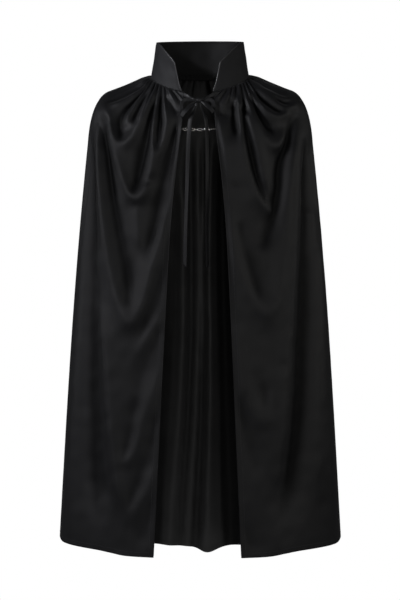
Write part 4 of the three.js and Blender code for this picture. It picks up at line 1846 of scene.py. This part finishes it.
LAMPS = (
    Lamp("key", (-2.35, -2.0, 0.6), 23.0, (0.955, 0.95, 1.0), size=(1.3, 1.8)),
    Lamp("fill", (2.35, -2.0, 0.3), 12.0, (1.0, 0.985, 0.95), size=(1.7, 2.0)),
    Lamp("left_rim", (-3.0, 0.1, 0.2), 10.0, (0.94, 0.945, 1.0)),
    Lamp("right_rim", (3.0, 0.1, 0.2), 6.5, (1.0, 0.985, 0.95)),
    Lamp("front", (0.25, -4.2, 0.3), 14.0, (1.0, 0.99, 0.97), size=(0.8, 0.8)),
    Lamp("collar_light", (-1.6, -1.3, 0.75), 175.0, (0.93, 0.94, 1.0), cone=math.radians(8.0),
         target=(-0.085, -0.05, 0.045)),
)


@dataclass
class Studio:
    """A white room with a soft key from the wearer's right, a weaker fill, and the camera."""

    camera_distance: float = 3.9
    camera_height: float = -0.5037
    camera_turn: float = math.radians(2.0)
    view_height: float = 1.4178
    sensor: float = 36.0
    floor_height: float = -1.45

    def _camera(self) -> None:
        """Sets the camera straight on, level with the middle of the cape."""
        data = bpy.data.cameras.new("camera")
        data.sensor_width = self.sensor
        data.lens = self.sensor * self.camera_distance / self.view_height
        camera = placed("camera", data)
        camera.location = (
            self.camera_distance * math.sin(self.camera_turn),
            -self.camera_distance * math.cos(self.camera_turn),
            self.camera_height,
        )
        camera.rotation_euler = (math.pi / 2, 0.0, self.camera_turn)
        bpy.context.scene.camera = camera

    @staticmethod
    def _world() -> None:
        """A white backdrop that lights the cape only a little."""
        world = bpy.data.worlds.new("white_room")
        bpy.context.scene.world = world
        world.use_nodes = True
        nodes, links = world.node_tree.nodes, world.node_tree.links
        shown = nodes["Background"]
        shown.inputs["Color"].default_value = (1.0, 1.0, 1.0, 1.0)
        shown.inputs["Strength"].default_value = 1.0
        dim = nodes.new("ShaderNodeBackground")
        dim.inputs["Color"].default_value = (0.95, 0.97, 1.0, 1.0)
        dim.inputs["Strength"].default_value = 0.025
        ray = nodes.new("ShaderNodeLightPath")
        pick = nodes.new("ShaderNodeMixShader")
        links.new(ray.outputs["Is Camera Ray"], pick.inputs["Fac"])
        links.new(dim.outputs["Background"], pick.inputs[1])
        links.new(shown.outputs["Background"], pick.inputs[2])
        links.new(pick.outputs["Shader"], nodes["World Output"].inputs["Surface"])

    def _floor(self) -> None:
        """A round pale floor well below the hem."""
        kit = Shading("pale_floor")
        kit.set(Base_Color=(0.86, 0.86, 0.86, 1.0), Roughness=0.8)
        body = bmesh.new()
        bmesh.ops.create_circle(body, cap_ends=True, radius=1.15, segments=96)
        mesh = bpy.data.meshes.new("floor")
        body.to_mesh(mesh)
        body.free()
        mesh.materials.append(kit.material)
        floor = placed("floor", mesh)
        floor.location = (0.0, 0.0, self.floor_height)

    def build(self) -> None:
        """Builds the studio."""
        self._camera()
        self._world()
        self._floor()
        for lamp in LAMPS:
            lamp.build()
        bpy.context.scene.view_settings.view_transform = "Standard"


# ---- The folds of this cape ----------------------------------------------------------------------------
# The places below were worked out by a program, not chosen here. The rises were set one by one.

RIGHT_RELIEF = (
    Crease(3, ((-113, 8), (-141, -12), (-169, -35), (-196, -45), (-215, -46))),
    Crease(5.5, ((-225, -43), (-213, -74), (-198, -115), (-176, -144), (-150, -126), (-127, -80),
                 (-113, -41), (-103, -11))),
    Crease(3, ((-115, -6), (-136, -31), (-153, -63), (-167, -86), (-160, -107))),
    Crease(2.5, ((-108, -11), (-122, -36), (-134, -64), (-146, -89))),
    Crease(6, ((-213, -79), (-198, -150), (-178, -212), (-159, -257), (-140, -273), (-121, -253),
               (-109, -209), (-105, -148), (-103, -76), (-94, -21))),
    Crease(4.5, ((-82, -19), (-78, -53), (-73, -93), (-82, -142), (-100, -193), (-114, -234))),
    Crease(1.2, ((-75, -23), (-59, -40), (-43, -58))),
    Crease(7.5, ((-238, -94), (-234, -188), (-226, -294), (-213, -388), (-193, -476), (-173, -531),
                 (-154, -561), (-133, -536), (-117, -492), (-104, -426), (-85, -357), (-65, -286))),
    Crease(2, ((-142, -287), (-139, -333), (-137, -379))),
    Crease(7, ((-224, -527), (-213, -665), (-200, -802), (-183, -926), (-161, -1000))),
    Crease(2.6, ((-82, -538), (-105, -572), (-121, -602), (-137, -636))),
    Crease(2.8, ((-82, -675), (-105, -727), (-123, -766), (-136, -823), (-155, -873), (-173, -892))),
    Crease(2.3, ((-90, -890), (-108, -926), (-126, -960), (-147, -999))),
    Crease(-4, ((-220, -39), (-189, -29), (-160, -14), (-129, 1))),
    Crease(-4.5, ((-120, -1), (-143, -26), (-167, -51), (-186, -83), (-181, -127))),
    Crease(-3, ((-115, -15), (-134, -43), (-148, -70), (-153, -89))),
    Crease(-6.5, ((-103, -32), (-110, -78), (-120, -129), (-131, -180), (-142, -220), (-151, -250))),
    Crease(-4.5, ((-89, -23), (-92, -65), (-94, -111), (-96, -149))),
    Crease(-2.5, ((-73, -35), (-61, -54), (-45, -72))),
    Crease(-7, ((-233, -78), (-217, -154), (-207, -237), (-194, -319), (-179, -388), (-164, -458),
                (-157, -511))),
    Crease(-6, ((-45, -93), (-61, -147), (-79, -205), (-93, -274), (-102, -338), (-118, -393),
                (-127, -414))),
    Crease(-10, ((-254, -104), (-254, -222), (-250, -364), (-253, -573), (-251, -781), (-245, -941),
                 (-232, -1042))),
    Crease(-6.5, ((-240, -400), (-237, -573), (-231, -741), (-219, -901), (-203, -1000))),
    Crease(-3, ((-74, -435), (-94, -485), (-115, -540), (-133, -591))),
    Crease(-2.8, ((-87, -572), (-110, -623), (-126, -668), (-142, -714))),
    Crease(-2.2, ((-137, -728), (-153, -796), (-167, -862))),
    Crease(-2.8, ((-86, -754), (-104, -822), (-120, -868), (-138, -918), (-159, -973))),
    Crease(-2.6, ((-99, -957), (-112, -994), (-126, -1030), (-135, -1060))),
)
LEFT_RELIEF = (
    Crease(3, ((137, 0), (169, -17), (200, -32), (228, -33))),
    Crease(3.5, ((130, -7), (151, -27), (176, -43), (200, -56), (218, -50), (230, -35))),
    Crease(4, ((116, -17), (132, -42), (153, -62), (176, -77), (197, -74), (214, -62))),
    Crease(5, ((107, -24), (118, -51), (135, -90), (149, -124), (167, -148), (181, -152), (193, -135),
               (200, -109))),
    Crease(4.5, ((95, -28), (102, -61), (118, -107), (137, -163), (151, -216), (160, -262))),
    Crease(6, ((84, -24), (93, -65), (100, -123), (112, -193), (128, -244), (148, -281), (167, -301))),
    Crease(1.2, ((70, -24), (56, -45), (42, -54))),
    Crease(3.5, ((42, -84), (54, -136), (73, -193), (86, -251))),
    Crease(6.5, ((66, -274), (75, -355), (91, -417), (110, -469), (130, -511), (151, -538),
                 (164, -536), (181, -501), (192, -446), (199, -377), (204, -284), (216, -179),
                 (232, -84))),
    Crease(4, ((237, -95), (232, -225), (227, -365), (220, -481), (210, -619), (199, -778),
               (182, -914))),
    Crease(3, ((87, -561), (94, -622), (103, -686), (116, -736), (130, -795))),
    Crease(3, ((194, -653), (180, -714), (164, -766), (146, -804))),
    Crease(4, ((277, -387), (279, -573), (278, -781), (275, -964))),
    Crease(-3, ((146, -2), (176, -17), (211, -29))),
    Crease(-3.5, ((179, -33), (197, -44), (214, -43))),
    Crease(-3, ((132, -18), (151, -41), (172, -57), (193, -68))),
    Crease(-4.5, ((118, -30), (132, -60), (149, -90), (165, -108), (176, -117))),
    Crease(-6, ((100, -35), (107, -88), (119, -149), (132, -209), (146, -251), (158, -280))),
    Crease(-4, ((79, -42), (84, -88), (89, -123))),
    Crease(-2.5, ((40, -61), (54, -75), (70, -66))),
    Crease(-7.5, ((225, -66), (207, -127), (190, -192), (185, -261), (171, -320), (153, -366),
                  (139, -398))),
    Crease(-4, ((93, -332), (109, -394), (123, -446), (139, -495))),
    Crease(-12, ((249, -129), (249, -271), (243, -434), (236, -596), (231, -733), (219, -858),
                 (203, -959), (178, -1037))),
    Crease(-7, ((266, -300), (264, -434), (257, -596), (249, -733), (238, -858), (222, -959),
                (199, -1030))),
    Crease(-3.5, ((98, -731), (110, -799), (123, -856), (139, -901))),
    Crease(-2, ((146, -698), (157, -743))),
    Crease(-3, ((103, -1006), (117, -1046), (137, -1074))),
)
BACK_RELIEF = (
    Crease(-11, ((25, -89), (20, -259), (15, -406), (17, -602), (16, -799), (11, -948), (7, -1190))),
    Crease(-4, ((-9, -89), (-7, -259), (-5, -406), (-8, -602), (-18, -824), (-28, -948),
                (-43, -1190))),
    Crease(-4, ((-44, -130), (-44, -430), (-45, -602), (-55, -799), (-75, -998), (-88, -1190))),
    Crease(6, ((5, -113), (5, -308), (5, -504), (2, -701), (-4, -899), (-18, -1180))),
    Crease(4, ((-26, -113), (-27, -308), (-27, -528), (-33, -701), (-43, -899), (-60, -1180))),
    Crease(9, ((42, -138), (44, -357), (49, -577), (56, -799), (65, -998), (75, -1170))),
    Crease(3, ((-63, -259), (-69, -504), (-84, -750), (-98, -940), (-112, -1180))),
)


def cape_parts() -> list[object]:
    """The cape's sub-assemblies, in the order they are built.

    Returns:
        Objects with a build method.
    """
    finishes = Finishes()
    cloth = Cloth(finishes)
    collar = Collar(finishes)
    return [
        Bow(finishes),
        ChestChain(finishes),
        collar,
        NeckBinding(collar),
        FrontPanel(Side.RIGHT, cloth, Drape(RIGHT_RELIEF, (-0.36, -0.02), gain=2.0, low_gain=1.5),
                   Gathers(seed=1.0)),
        FrontPanel(Side.LEFT, cloth, Drape(LEFT_RELIEF, (0.02, 0.36), gain=2.0, low_gain=1.5),
                   Gathers(seed=2.2)),
        BackPanel(cloth, Drape(BACK_RELIEF, (-0.25, 0.25), gain=3.0, low_gain=3.0, softening=14,
                               low_softening=4),
                  Gathers(seed=3.4, middle=0.0034, long=0.007, long_pitch=0.06)),
    ]


def main() -> None:
    """Builds the studio and the cape, and reports each piece."""
    logging.basicConfig(level=logging.INFO, format="%(name)s: %(message)s")
    Studio().build()
    for part in cape_parts():
        for piece in part.build():
            log.info("%s: %s has %d faces", type(part).__name__, piece.name, len(piece.data.polygons))


if __name__ == "__main__":
    main()
